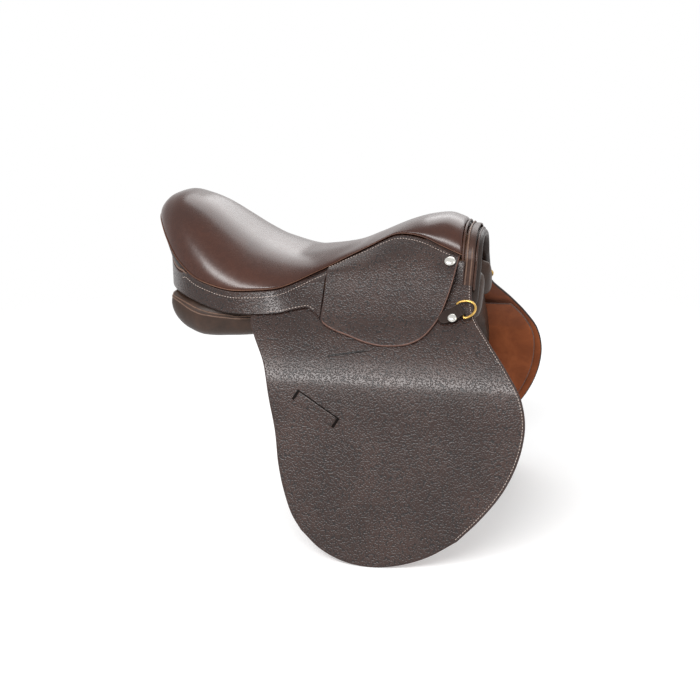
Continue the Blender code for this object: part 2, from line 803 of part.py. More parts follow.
def cantle_places(front, count):
    """Places from the front of the rear band to the middle of the cantle, even along the rim."""
    angle = np.radians(np.linspace(90, 0, count))
    behind = WIDEST_PLACE - (CANTLE_REACH + WIDEST_PLACE) * np.cos(angle)
    return np.concatenate([np.linspace(front, WIDEST_PLACE, 6)[:-1], behind])


def facing_drop(x):
    """Depth of the cantle facing, which runs out to nothing towards the sides."""
    return smooth(((-CANTLE_REACH, FACING_DROP), (-0.262, FACING_DROP * 0.62), (-0.215, 0.0), (0.1, 0.0)))(x)


def facing_inset(x):
    return facing_drop(x) * 0.33


def make_rear(side, sign, finishes):
    """Cantle facing, welt and rear band of one side."""
    places = cantle_places(BAND_FRONT, 12)
    drop, inset = facing_drop(places), facing_inset(places)
    top = under_seam(places) - drop - np.where(drop > 0, WELT_ROOM, 0)
    bottom = smooth(BAND_FOOT)(places)
    joining = smooth(((-0.080, 0.0), (BAND_FRONT, 1.0)))(places)

    def on_side(height, depth):
        """(half-width, height) of the band where it lies on the flap and rises to meet the skirt."""
        rows = SIDE.down(height)
        return SIDE.at(rows, BAND_THICKNESS + RUNNING_GAP - depth + (skirt_lift(rows) - GAP) * joining)

    def wall(depth):
        upper_x, upper_y = plan_edge(places, inset + 0.0006 + depth)
        lower_x, lower_y = plan_edge(places, inset + 0.0012 + depth)
        side_y, side_z = on_side(bottom, depth)
        on_flap = (places > -0.125) & (side_y > lower_y)
        lower_y = np.where(on_flap, side_y, lower_y)
        lower_z = np.where(on_flap, side_z, bottom)
        rows = []
        for share in (0, 0.25, 0.5, 0.75, 1):
            x = upper_x * (1 - share) + lower_x * share
            y = upper_y * (1 - share) + lower_y * share
            z = top * (1 - share) + lower_z * share
            side_y, side_z = on_side(z, depth)
            raised = (places > -0.080) & (side_y > y) & (0 < share < 1)
            y, z = np.where(raised, side_y, y), np.where(raised, side_z, z)
            rows.append(np.stack([x, np.maximum(y, GAP), z], axis=1))
        return np.stack(rows)

    points, faces = slab(wall(0), wall(BAND_THICKNESS))
    body(f"rear_band_{side}", mirrored(points, sign), faces, finishes["skirt"])

    behind = places[facing_drop(places) > 0.002]
    drop, inset = facing_drop(behind), facing_inset(behind)

    def facing(depth):
        upper_x, upper_y = plan_edge(behind, 0.0006 + depth)
        lower_x, lower_y = plan_edge(behind, inset + depth)
        upper = np.stack([upper_x, upper_y, under_seam(behind)], axis=1)
        lower = np.stack([lower_x, lower_y, under_seam(behind) - drop], axis=1)
        grid = np.stack([upper, upper * 0.5 + lower * 0.5, lower])
        grid[..., 1] = np.maximum(grid[..., 1], GAP)
        return grid

    points, faces = slab(facing(0), facing(COVER_THICKNESS))
    body(f"cantle_facing_{side}", mirrored(points, sign), faces, finishes["dark"])

    x, y = plan_edge(behind, inset + WELT_RADIUS)
    height = under_seam(behind) - drop - GAP - WELT_RADIUS
    path = np.stack([x, np.maximum(y, GAP), height], axis=1)
    points, faces = tube(path, WELT_RADIUS - GAP / 2, 6)
    body(f"cantle_welt_{side}", mirrored(points, sign), faces, finishes["edge"])


def skirt_lift(rows):
    """Lift of the skirt's inner face: it stands over the stirrup bar and lies on the flap below."""
    top = SIDE.down(SKIRT_HINGE_HEIGHT)
    foot = SIDE.down(0.018)
    share = np.clip((rows - top) / (foot - top), 0, 1)
    return GAP + SKIRT_STAND * (1 - share**2 * (3 - 2 * share))


def skirt_hinge():
    """(half-width, height) of the line that the skirt bends about."""
    top = SIDE.down(SKIRT_HINGE_HEIGHT)
    lift = skirt_lift(top) + SKIRT_THICKNESS / 2
    width, height = SIDE.at(top, lift)
    return np.array([float(width), float(height)])


def make_skirt(side, sign, finishes):
    """Skirt: a fixed strip sewn under the seat seam, and the free part that bends up from it."""
    radius = SKIRT_THICKNESS / 2
    free = side_sheet(
        f"skirt_{side}",
        SKIRT_BACK,
        SKIRT_FRONT,
        SIDE.down(SKIRT_HINGE_HEIGHT),
        SIDE.down(-0.0065),
        skirt_lift,
        lambda rows: skirt_lift(rows) + SKIRT_THICKNESS,
        finishes["skirt"],
        sign,
        heights=(0.0165, 0.0065, 0.0, -0.003, -0.0055),
        round_top=True,
    )
    places = np.linspace(SKIRT_REAR, POMMEL_REACH - 0.004, 12)
    hinge = skirt_hinge()
    seam = np.stack([seat_half_width(places), under_seam(places) - 0.001], axis=1)
    way = seam - hinge
    way /= np.linalg.norm(way, axis=1)[:, None]
    foot = hinge + (radius + GAP) * way
    normal = np.stack([way[:, 1], -way[:, 0]], axis=1)
    grids = []
    for lift in (radius, -radius):
        rows = []
        for share in (0, 0.33, 0.67, 1):
            hollow = SKIRT_CROWN * 4 * share * (1 - share)
            section = seam * (1 - share) + foot * share + normal * (lift + hollow)
            rows.append(np.stack([places, section[:, 0], section[:, 1]], axis=1))
        grids.append(np.stack(rows))
    points, faces = slab(*grids)
    fixed = body(f"skirt_top_{side}", mirrored(points, sign), faces, finishes["skirt"])
    return fixed, free


def make_flap(side, sign, finishes):
    """Flap: its fixed top under the skirt, and the free part that lifts for girthing up."""
    hinge = SIDE.down(FLAP_HINGE_HEIGHT)
    radius = FLAP_THICKNESS / 2
    heights = (-0.110, -0.145, -0.180, -0.210, -0.235, -0.255, -0.268, -0.278, -0.285, -0.290)
    top = side_sheet(
        f"flap_top_{side}",
        FLAP_BACK,
        FLAP_FRONT,
        SIDE.down(FLAP_TOP_HEIGHT),
        hinge - radius - GAP,
        -FLAP_THICKNESS,
        0.0,
        finishes["flap"],
        sign,
    )
    low = np.array([-0.2, 0.05, FLAP_NOTCH_HEIGHT])
    high = np.array([BAR_FRONT + 0.004, 0.3, 0.2])
    change(top, box(f"flap_notch_{side}", low, high, sign, finishes["flap"]), "DIFFERENCE")
    free = side_sheet(
        f"flap_{side}",
        FLAP_BACK,
        FLAP_FRONT,
        hinge,
        SIDE.down(FLAP_FOOT),
        -FLAP_THICKNESS,
        0.0,
        finishes["flap"],
        sign,
        heights=heights,
        round_top=True,
    )
    return top, free


def box(name, low, high, sign, finish):
    """A block between two corners, mirrored to its side."""
    corners = np.array([[x, y, z] for x in (low[0], high[0]) for y in (low[1], high[1]) for z in (low[2], high[2])])
    rings = [corners[[0, 1, 3, 2]], corners[[4, 5, 7, 6]]]
    points, faces = loft(rings)
    return body(name, mirrored(points, sign), faces, finish)


def leaf(outline, corner, along, out, low, high):
    """A flat outline in (x, distance along) on a sloping plane, made a plate from lift low to high."""
    outline = np.asarray(outline, float)
    rings = []
    for lift in (low, high):
        section = corner + np.outer(outline[:, 1], along) + lift * out
        rings.append(np.column_stack([outline[:, 0], section]))
    return loft(rings)


def arc(centre, radius, start, end, count):
    """Points on an arc, in degrees."""
    angle = np.radians(np.linspace(start, end, count))
    return [(centre[0] + radius * math.cos(a), centre[1] + radius * math.sin(a)) for a in angle]


def make_keeper(side, sign, flap, finishes):
    """Strap keeper: a leather strip whose ends are let into two slots of the flap."""
    base = SIDE.down(FLAP_HINGE_HEIGHT) + 0.05
    corner = np.array([float(v) for v in SIDE.at(base, 0)])
    down, out = lean_ways()
    ends = ((KEEPER_BACK, KEEPER_BACK_HEIGHT), (KEEPER_FRONT, KEEPER_FRONT_HEIGHT))
    start, end = (np.array([place, float(SIDE.down(height) - base)]) for place, height in ends)
    length = np.linalg.norm(end - start)
    along = (end - start) / length
    across = np.array([-along[1], along[0]])
    half = KEEPER_WIDTH / 2
    top, foot = GAP + KEEPER_THICKNESS, -FLAP_THICKNESS
    section = [(0, top), (length, top), (length, foot), (length - KEEPER_THICKNESS, foot)]
    section += [(length - KEEPER_THICKNESS, GAP), (KEEPER_THICKNESS, GAP), (KEEPER_THICKNESS, foot), (0, foot)]
    rings = []
    for offset in (-half, half):
        flat = [start + along * reach + across * offset for reach, _ in section]
        rings.append([[x, *(corner + down * d + out * lift)] for (x, d), (_, lift) in zip(flat, section)])
    points, faces = loft(rings)
    body(f"strap_keeper_{side}", mirrored(points, sign), faces, finishes["skirt"])
    room = GAP * 1.5
    for number, first in enumerate((-room, length - KEEPER_THICKNESS - room)):
        last = first + KEEPER_THICKNESS + 2 * room
        sides = ((first, -half - room), (last, -half - room), (last, half + room), (first, half + room))
        outline = [start + along * reach + across * offset for reach, offset in sides]
        points, faces = leaf(outline, corner, down, out, -FLAP_THICKNESS - 0.002, 0.002)
        change(flap, body(f"keeper_slot_{number}_{side}", mirrored(points, sign), faces, finishes["flap"]), "DIFFERENCE")


def strap_places():
    return [FRONT_STRAP_PLACE - STRAP_SPACING * i for i in range(3)]


def strap_lift():
    """Lift of the straps' outer face, with room in front of it under the flap."""
    return -FLAP_THICKNESS - STRAP_ROOM


def make_girthing(side, sign, finishes):
    """Two webs over the tree and the three girth straps sewn to them."""
    pivot = float(SIDE.down(STRAP_PIVOT_HEIGHT))
    half = STRAP_WIDTH / 2
    web_foot = pivot - half - RUNNING_GAP
    lift = strap_lift()
    front, middle, rear = strap_places()
    web_lift = -FLAP_THICKNESS - GAP
    web_head = SIDE.down(WEB_HEAD_HEIGHT)
    narrow, wide = FLAP_NOTCH_HEIGHT + 0.003, 0.010
    web_split = 0.007
    webs = {
        "front": (
            ((0.1, web_split), (narrow, web_split), (wide, middle - half), (-0.1, middle - half)),
            ((0.1, BAR_BACK - 0.002), (narrow, BAR_BACK - 0.002), (wide, front + half), (-0.1, front + half)),
        ),
        "rear": (
            ((0.1, WEB_REAR), (narrow, WEB_REAR), (wide, rear - half), (-0.1, rear - half)),
            ((0.1, web_split - 0.002), (-0.1, rear + half)),
        ),
    }
    for name, (back_edge, front_edge) in webs.items():
        side_sheet(
            f"girth_web_{name}_{side}",
            back_edge,
            front_edge,
            web_head,
            web_foot,
            web_lift - WEB_THICKNESS,
            web_lift,
            finishes["webbing"],
            sign,
        )
    corner = np.array([float(v) for v in SIDE.at(pivot, 0)])
    down, out = lean_ways()
    for name, place in zip(("front", "middle", "rear"), (front, middle, rear)):
        head = arc((place, 0), half, 180, 360, 9)
        tip = [
            (place + half, STRAP_LENGTH - 0.016),
            (place + 0.006, STRAP_LENGTH),
            (place - 0.006, STRAP_LENGTH),
            (place - half, STRAP_LENGTH - 0.016),
        ]
        points, faces = leaf(head + tip, corner, down, out, lift - STRAP_THICKNESS, lift)
        middle_lift = lift - STRAP_THICKNESS / 2
        centre = corner + out * middle_lift
        pivot_point = (place, centre[0] * sign, centre[1])
        body(f"girth_strap_{name}_{side}", mirrored(points, sign), faces, finishes["strap"], pivot_point)


def make_sweat_flap(side, sign, finishes):
    lift = strap_lift() - STRAP_THICKNESS - RUNNING_GAP
    side_sheet(
        f"sweat_flap_{side}",
        SWEAT_BACK,
        SWEAT_FRONT,
        SIDE.down(POINT_FOOT - 0.013),
        SIDE.down(-0.240),
        max(lift - SWEAT_FLAP_THICKNESS, panel_lift() + GAP),
        lift,
        finishes["flap"],
        sign,
        heights=(-0.10, -0.14, -0.18, -0.20, -0.215, -0.228, -0.236),
    )


def make_pocket(side, sign, finishes):
    """Leather pocket over the lower end of a tree point."""
    lift = -FLAP_THICKNESS - GAP
    return side_sheet(
        f"point_pocket_{side}",
        ((0.1, POINT_BACK - 0.004), (-0.1, POINT_BACK - 0.004)),
        ((0.1, POINT_FRONT + 0.004), (-0.1, POINT_FRONT + 0.004)),
        SIDE.down(0.040),
        SIDE.down(POINT_FOOT - 0.006),
        lift - POCKET_THICKNESS,
        lift,
        finishes["skirt"],
        sign,
    )


def panel_ring(x):
    """Section of a panel's cushion: a rounded block on a slope, full in the middle of each side."""
    table = np.array(PANEL_STATIONS)
    width, height, breadth, depth, slope = (smooth(table[:, [0, i]])(x) for i in range(1, 6))
    angle = np.arange(PANEL_SIDES) * 2 * math.pi / PANEL_SIDES
    a = breadth * np.sign(np.cos(angle)) * np.abs(np.cos(angle)) ** 0.75
    b = depth * np.sign(np.sin(angle)) * np.abs(np.sin(angle)) ** 0.75
    tilt = np.radians(slope)
    y = width + a * np.cos(tilt) + b * np.sin(tilt)
    z = height - a * np.sin(tilt) + b * np.cos(tilt)
    z = np.minimum(z, tree_under(x, y) - IRON_GAP - 0.0045)
    z = np.minimum(z, smooth(((-0.253, 0.0415), (-0.222, 0.0385), (-0.205, 0.0385), (-0.190, 0.060), (-0.180, 0.2)))(x))
    layer_width, layer_height = SIDE.at(SIDE.distance, panel_lift() - GAP)
    y = np.minimum(y, np.interp(-z, -layer_height, layer_width))
    return np.stack([np.full(PANEL_SIDES, float(x)), y, z], axis=1)


def make_panel(side, sign, finishes):
    """Panel: a wool-stuffed cushion that runs down into a thin pad behind the sweat flap."""
    rear, front = PANEL_STATIONS[0][0], PANEL_STATIONS[-1][0]
    places = [rear, rear + 0.008, -0.230, -0.205, -0.180, -0.145, -0.112, -0.084, -0.063]
    places += [-0.035, 0.0, 0.04, 0.08, 0.12, 0.16, 0.186, 0.2, front]
    points, faces = loft([panel_ring(x) for x in places])
    lift = panel_lift()

    def inner(rows):
        top, foot = SIDE.down(0.046), SIDE.down(-0.243)
        depth = smooth(((top, 0.036), (SIDE.down(0.0), 0.034), (SIDE.down(-0.06), 0.020), (SIDE.down(-0.14), 0.012), (foot, 0.010)))
        return lift - depth(rows)

    pad = side_sheet(
        f"panel_{side}",
        PANEL_BACK,
        PANEL_FRONT,
        SIDE.down(0.046),
        SIDE.down(-0.243),
        inner,
        lift,
        finishes["panel"],
        sign,
        heights=(-0.10, -0.14, -0.18, -0.20, -0.215, -0.228, -0.238),
    )
    cushion = body(f"panel_cushion_{side}", mirrored(points, sign), faces, finishes["panel"])
    change(pad, cushion, "UNION")


def bar_plane():
    """Corner, way down and way out of the plane that a stirrup bar is forged in."""
    corner = np.array(tree_edge())
    down = np.array([math.cos(BAR_SLOPE), -math.sin(BAR_SLOPE)])
    out = np.array([math.sin(BAR_SLOPE), math.cos(BAR_SLOPE)])
    return corner, down, out


def make_stirrup_bar(side, sign, tree, finishes):
    """Forged stirrup bar, its two rivets into the tree and the safety catch on its free end."""
    corner, down, out = bar_plane()
    slot_end = BAR_SLOT + BAR_WIDTH
    low, high = BAR_STAND, BAR_STAND + BAR_THICKNESS
    outline = [
        (BAR_BACK, -BAR_PLATE_RISE),
        (BAR_FRONT, -BAR_PLATE_RISE),
        (BAR_FRONT, slot_end),
        (BAR_BACK, slot_end),
        (BAR_BACK, BAR_SLOT),
        (BAR_FRONT - BAR_ARM, BAR_SLOT),
        (BAR_FRONT - BAR_ARM, -0.004),
        (BAR_BACK, -0.004),
    ]
    finish = finishes["steel"]

    def forged(name, shape, start, end, pivot=(0, 0, 0)):
        points, faces = leaf(shape, corner, down, out, start, end)
        return body(name, mirrored(points, sign), faces, finish, pivot)

    def spot(x, distance, lift):
        point = corner + down * distance + out * lift
        return np.array([x, point[0] * sign, point[1]])

    axis = np.array([0, out[0] * sign, out[1]])
    bar = forged(f"stirrup_bar_{side}", outline, low, high)
    end = BAR_BACK - BAR_WIDTH - RUNNING_GAP
    half = BAR_THICKNESS / 2 - GAP
    top, foot = BAR_SLOT + GAP, slot_end - GAP
    tongue = [(end, top), (BAR_BACK + 0.002, top), (BAR_BACK + 0.002, foot), (end, foot)]
    change(bar, forged(f"bar_tongue_{side}", tongue, low + GAP, low + half), "UNION")
    centre = (BAR_BACK - BAR_WIDTH / 2 - RUNNING_GAP, BAR_SLOT + BAR_WIDTH / 2)
    pin_base = spot(*centre, 0)
    pin = cylinder(f"catch_pin_{side}", pin_base, axis, PIN_RADIUS, low + 0.001, high + GAP, finish)
    change(bar, pin, "UNION")
    for number, x in enumerate((BAR_BACK + 0.014, BAR_FRONT - 0.012)):
        base = spot(x, -BAR_PLATE_RISE / 2 - 0.002, 0)
        hole = cylinder(f"rivet_hole_{number}_{side}", base, axis, 0.0028, -0.009, high + 0.01, finish)
        change(bar, hole, "DIFFERENCE")
        change(tree, hole, "DIFFERENCE")
    for number, x in (("rear", BAR_BACK + 0.014), ("front", BAR_FRONT - 0.012)):
        base = spot(x, -BAR_PLATE_RISE / 2 - 0.002, 0)
        shank = cylinder(f"bar_rivet_{number}_{side}", base, axis, 0.0025, -0.0085, high + 0.0012, finish)
        head = cylinder(f"rivet_head_{number}_{side}", base, axis, 0.0042, high + GAP, high + 0.0018, finish)
        change(shank, head, "UNION")
    tip = centre[0] - CATCH_LENGTH
    half_width = BAR_WIDTH / 2
    round_end = arc(centre, half_width, -90, 90, 9)
    catch_outline = round_end + [(tip, centre[1] + half_width - 0.001), (tip, centre[1] - half_width + 0.001)]
    pivot = spot(*centre, high - half / 2)
    catch = forged(f"stirrup_catch_{side}", catch_outline, low + half + GAP, high, tuple(pivot))
    bore = cylinder(f"catch_bore_{side}", pin_base, axis, PIN_RADIUS + GAP, -0.01, high + 0.01, finish)
    change(catch, bore, "DIFFERENCE")


def dome(name, base, axis, radius, start, rise, shank, depth, finish):
    """A domed nail: a spherical cap on a shank."""
    axis = np.asarray(axis, float)
    across = np.cross(axis, (1, 0, 0))
    across /= np.linalg.norm(across)
    other = np.cross(axis, across)
    sides = 14
    angle = np.arange(sides) * 2 * math.pi / sides
    circle = np.outer(np.cos(angle), across) + np.outer(np.sin(angle), other)
    profile = [(shank, -depth), (shank, start), (radius, start), (radius * 0.97, start + rise * 0.3)]
    profile += [(radius * 0.78, start + rise * 0.68), (radius * 0.42, start + rise * 0.94)]
    rings = [base + circle * r + axis * h for r, h in profile]
    return body(name, *loft(rings), finish)


def make_nail(name, base, axis, radius, start, depth, layers, finishes):
    """A domed nail through the leather into the tree, with a hole for it in each layer."""
    dome(name, base, axis, radius, start, NAIL_DOME, SHANK_RADIUS, depth, finishes["nickel"])
    hole = cylinder(name + "_hole", base, axis, SHANK_RADIUS + GAP, -depth - 0.001, 0.02, finishes["nickel"])
    for layer in layers:
        change(layer, hole, "DIFFERENCE")


def make_dee(side, sign, finishes):
    """Brass dee on a folded leather chape, which the lower nail holds to the tree.

    Both are turned upwards about the nail, so that the dee points forward and up.
    """
    distance = float(SIDE.down(LOWER_NAIL_HEIGHT))
    corner = np.array([float(v) for v in SIDE.at(distance, 0)])
    k = int(np.searchsorted(SIDE.distance, distance) - 1)
    out = SIDE.normal[k]
    down = np.array([out[1], -out[0]])
    bend = DEE_WIRE_RADIUS + 2 * GAP + CHAPE_THICKNESS
    stand = 0.0006

    def spot(reach, offset, lift):
        """Point at a reach from the nail along the chape, an offset across it and a lift out from the flap."""
        offset = offset - DEE_SHIFT
        place = LOWER_NAIL_PLACE + reach * math.cos(DEE_TURN) + offset * math.sin(DEE_TURN)
        section = corner + down * (offset * math.cos(DEE_TURN) - reach * math.sin(DEE_TURN)) + out * lift
        return np.array([place, *section])

    back, lap = -0.009, 0.008
    outline = [(back, stand), *arc((DEE_OFFSET, stand + bend), bend, -90, 90, 9)]
    outline += [(lap, stand + 2 * CHAPE_THICKNESS), (back, stand + 2 * CHAPE_THICKNESS)]
    rings = [[spot(reach, offset, lift) for reach, lift in outline] for offset in (-CHAPE_WIDTH / 2, CHAPE_WIDTH / 2)]
    points, faces = loft(rings)
    chape = body(f"dee_chape_{side}", mirrored(points, sign), faces, finishes["dark"])
    pivot = mirrored(spot(DEE_OFFSET, 0, stand + bend), sign)
    axis = mirrored(spot(0, 1, 0) - spot(0, 0, 0), sign)
    bore = cylinder(f"dee_bore_{side}", pivot, axis, DEE_WIRE_RADIUS + 2 * GAP, -0.02, 0.02, finishes["dark"])
    change(chape, bore, "DIFFERENCE")
    half = DEE_BAR_HALF
    bow = [(DEE_OFFSET + DEE_REACH * math.sin(a) ** 0.8, -half * math.cos(a)) for a in np.linspace(0.12, math.pi - 0.12, 12)]
    path = [(DEE_OFFSET, half * s) for s in (0.9, 0.45, -0.45, -0.9)] + bow
    route = [spot(reach, offset, stand + bend) for reach, offset in path]
    points, faces = tube(np.array(route), DEE_WIRE_RADIUS, 8, closed=True)
    body(f"dee_{side}", mirrored(points, sign), faces, finishes["brass"], tuple(pivot))
    nail_axis = np.array([0, out[0] * sign, out[1]])
    nail_base = np.array([LOWER_NAIL_PLACE, corner[0] * sign, corner[1]])
    return chape, nail_base, nail_axis, stand + 2 * CHAPE_THICKNESS + GAP


def make_side(side, sign, tree, finishes):
    """Everything that the saddle has once on each side."""
    make_rear(side, sign, finishes)
    skirt_top, _ = make_skirt(side, sign, finishes)
    flap_top, flap = make_flap(side, sign, finishes)
    make_keeper(side, sign, flap, finishes)
    make_girthing(side, sign, finishes)
    make_sweat_flap(side, sign, finishes)
    pocket = make_pocket(side, sign, finishes)
    make_panel(side, sign, finishes)
    make_stirrup_bar(side, sign, tree, finishes)
    chape, base, axis, start = make_dee(side, sign, finishes)
    depth = FLAP_THICKNESS + POCKET_THICKNESS + POINT_THICKNESS - 0.001
    make_nail(
        f"lower_nail_{side}", base, axis, LOWER_NAIL_RADIUS, start, depth, (chape, flap_top, pocket, tree), finishes
    )
    hinge = skirt_hinge()
    seam = np.array(
        [float(seat_half_width(UPPER_NAIL_PLACE)), float(under_seam(UPPER_NAIL_PLACE)) - 0.001]
    )
    way = (seam - hinge) / np.linalg.norm(seam - hinge)
    out = np.array([way[1], -way[0]])
    spot = seam * 0.55 + hinge * 0.45
    base = np.array([UPPER_NAIL_PLACE, spot[0] * sign, spot[1]])
    axis = np.array([0, out[0] * sign, out[1]])
    start = SKIRT_THICKNESS / 2 + SKIRT_CROWN + 0.0020
    make_nail(f"upper_nail_{side}", base, axis, UPPER_NAIL_RADIUS, start, 0.020, (skirt_top, tree), finishes)


def make_saddle():
    for leftover in list(bpy.data.objects):
        bpy.data.objects.remove(leftover)
    finishes = {
        "seat": material("seat_leather", (0.34, 0.20, 0.15), 0.28),
        "skirt": material("grained_leather", (0.30, 0.23, 0.21), 0.45),
        "flap": material("flap_leather", (0.31, 0.24, 0.22), 0.45),
        "dark": material("dark_leather", (0.20, 0.14, 0.12), 0.40),
        "panel": material("panel_leather", (0.31, 0.22, 0.18), 0.38),
        "edge": material("cut_edge", (0.55, 0.42, 0.36), 0.60),
        "strap": material("strap_leather", (0.36, 0.22, 0.15), 0.45),
        "foam": material("seat_foam", (0.85, 0.80, 0.66), 0.90),
        "webbing": material("jute_webbing", (0.70, 0.62, 0.48), 0.90),
        "wood": material("beech_laminate", (0.72, 0.55, 0.36), 0.55),
        "steel": material("forged_steel", (0.62, 0.62, 0.60), 0.35, 1.0),
        "nickel": material("nickel", (0.80, 0.80, 0.80), 0.25, 1.0),
        "brass": material("brass", (0.80, 0.62, 0.30), 0.25, 1.0),
    }
    tree = make_tree(finishes)
    make_tree_irons(finishes)
    make_seat(finishes)
    make_pommel(finishes)
    for side, sign in (("left", 1), ("right", -1)):
        make_side(side, sign, tree, finishes)


make_saddle()
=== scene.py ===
"""Looks of a polo saddle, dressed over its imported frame. Metres, +X forward, +Y left, +Z up."""

import math

import bmesh
import bpy
import numpy as np
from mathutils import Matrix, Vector
from mathutils.bvhtree import BVHTree


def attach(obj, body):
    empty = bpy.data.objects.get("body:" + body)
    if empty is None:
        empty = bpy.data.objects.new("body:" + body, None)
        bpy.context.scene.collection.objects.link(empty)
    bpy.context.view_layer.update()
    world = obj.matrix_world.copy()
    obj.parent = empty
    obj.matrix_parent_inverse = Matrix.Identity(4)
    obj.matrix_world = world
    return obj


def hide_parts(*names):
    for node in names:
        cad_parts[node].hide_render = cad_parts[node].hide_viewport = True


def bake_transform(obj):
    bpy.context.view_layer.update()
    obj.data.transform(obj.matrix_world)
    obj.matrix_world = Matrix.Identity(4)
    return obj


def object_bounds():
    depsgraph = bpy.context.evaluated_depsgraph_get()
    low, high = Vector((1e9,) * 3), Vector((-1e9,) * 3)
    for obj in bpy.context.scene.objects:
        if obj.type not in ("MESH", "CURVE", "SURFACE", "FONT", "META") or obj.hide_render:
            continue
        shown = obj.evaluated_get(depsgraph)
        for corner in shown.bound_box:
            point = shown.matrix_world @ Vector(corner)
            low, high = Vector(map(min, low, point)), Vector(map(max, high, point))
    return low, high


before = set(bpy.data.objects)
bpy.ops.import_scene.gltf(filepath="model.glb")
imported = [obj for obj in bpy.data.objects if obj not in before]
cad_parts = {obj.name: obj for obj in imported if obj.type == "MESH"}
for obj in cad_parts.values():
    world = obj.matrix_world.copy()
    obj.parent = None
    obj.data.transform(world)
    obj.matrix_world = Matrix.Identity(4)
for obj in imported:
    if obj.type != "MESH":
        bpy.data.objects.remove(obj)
cad_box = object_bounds()

# Camera. It stands to the right of the saddle and a little ahead of it, and looks slightly down.
PICTURE_WIDTH = 700
FOCAL_PIXELS = 1258
CAMERA_AZIMUTH, CAMERA_ELEVATION = math.radians(11.3), math.radians(14.4)
CAMERA_DISTANCE = 1.931
LOOKED_AT = Vector((0, 0, -0.060))

lens = bpy.data.cameras.new("camera")
lens.sensor_width = 36
lens.lens = FOCAL_PIXELS / PICTURE_WIDTH * lens.sensor_width
camera = bpy.data.objects.new("camera", lens)
towards_camera = Vector(
    (
        math.sin(CAMERA_AZIMUTH) * math.cos(CAMERA_ELEVATION),
        -math.cos(CAMERA_AZIMUTH) * math.cos(CAMERA_ELEVATION),
        math.sin(CAMERA_ELEVATION),
    )
)
camera.location = LOOKED_AT + towards_camera * CAMERA_DISTANCE
camera.rotation_euler = (-towards_camera).to_track_quat("-Z", "Y").to_euler()
bpy.context.scene.collection.objects.link(camera)
bpy.context.scene.camera = camera
bpy.context.scene.view_settings.view_transform = "Standard"


# Room. A pale floor under the saddle that fades into a white room, a long soft lamp in front and
# above, a very large one over the far side for the sheen on the seat, and a weak one at the head.
FLOOR_RADIUS = 2.6
FLOOR_FADE = (0.75, 1.7)
FLOOR_GREY = (0.80, 0.80, 0.80, 1)
FLOOR_GLOW = 0.30
ROOM_LIGHT = 0.42
LAMPS = (
    # name, place, width and height, watts
    ("front_lamp", (-0.5, -2.1, 1.38), (2.3, 0.66), 76),
    ("far_lamp", (0.28, 1.95, 1.75), (1.9, 2.3), 36),
    ("head_lamp", (2.3, -0.6, 0.8), (1.2, 1.2), 7),
)


def srgb(red, green, blue):
    """A colour given as 0 to 255 values, made linear for the shader."""
    parts = [c / 255 for c in (red, green, blue)]
    return (*[c / 12.92 if c <= 0.04045 else ((c + 0.055) / 1.055) ** 2.4 for c in parts], 1)


def node(made, kind, **values):
    """A node with its settings, and its input sockets by name or number."""
    new = made.node_tree.nodes.new(kind)
    for key, value in values.items():
        if key.startswith("in_"):
            key = key[3:].replace("_", " ")
            new.inputs[int(key) if key.isdigit() else key].default_value = value
        else:
            setattr(new, key, value)
    return new


def join(made, *pairs):
    """Links each output to its input."""
    for output, socket in pairs:
        made.node_tree.links.new(output, socket)


def seen_as_white(made):
    """1 for rays from the camera and for those that metal or glass sends on, else 0."""
    ray = node(made, "ShaderNodeLightPath")
    total = ray.outputs["Is Camera Ray"]
    for kind in ("Is Glossy Ray", "Is Transmission Ray"):
        either = node(made, "ShaderNodeMath", operation="MAXIMUM")
        join(made, (total, either.inputs[0]), (ray.outputs[kind], either.inputs[1]))
        total = either.outputs[0]
    return total


room = bpy.data.worlds.new("room")
room.use_nodes = True
bpy.context.scene.world = room
air = room.node_tree.nodes["Background"]
air.inputs["Color"].default_value = (1, 1, 1, 1)
light = node(room, "ShaderNodeMapRange", in_To_Min=ROOM_LIGHT, in_To_Max=1.0)
join(room, (seen_as_white(room), light.inputs["Value"]), (light.outputs["Result"], air.inputs["Strength"]))

for name, place, size, watts in LAMPS:
    lamp = bpy.data.lights.new(name, "AREA")
    lamp.shape = "RECTANGLE"
    lamp.size, lamp.size_y = size
    lamp.energy = watts
    stand = bpy.data.objects.new(name, lamp)
    stand.location = place
    stand.rotation_euler = (-Vector(place)).to_track_quat("-Z", "Y").to_euler()
    bpy.context.scene.collection.objects.link(stand)

paint = bpy.data.materials.new("pale_floor")
paint.use_nodes = True
paint.node_tree.nodes.clear()
diffuse = node(paint, "ShaderNodeBsdfDiffuse", in_Color=FLOOR_GREY)
brightness = node(paint, "ShaderNodeMath", operation="MULTIPLY", in_1=FLOOR_GLOW)
glow = node(paint, "ShaderNodeEmission")
lit = node(paint, "ShaderNodeAddShader")
position = node(paint, "ShaderNodeTexCoord")
distance = node(paint, "ShaderNodeVectorMath", operation="LENGTH")
fade = node(paint, "ShaderNodeMapRange", interpolation_type="SMOOTHSTEP")
fade.inputs["From Min"].default_value, fade.inputs["From Max"].default_value = FLOOR_FADE
clear = node(paint, "ShaderNodeBsdfTransparent")
faded = node(paint, "ShaderNodeMixShader")
surface = node(paint, "ShaderNodeOutputMaterial")
join(
    paint,
    (seen_as_white(paint), brightness.inputs[0]),
    (brightness.outputs[0], glow.inputs["Strength"]),
    (diffuse.outputs[0], lit.inputs[0]),
    (glow.outputs[0], lit.inputs[1]),
    (position.outputs["Object"], distance.inputs[0]),
    (distance.outputs["Value"], fade.inputs["Value"]),
    (fade.outputs["Result"], faded.inputs["Fac"]),
    (lit.outputs[0], faded.inputs[1]),
    (clear.outputs[0], faded.inputs[2]),
    (faded.outputs[0], surface.inputs["Surface"]),
)

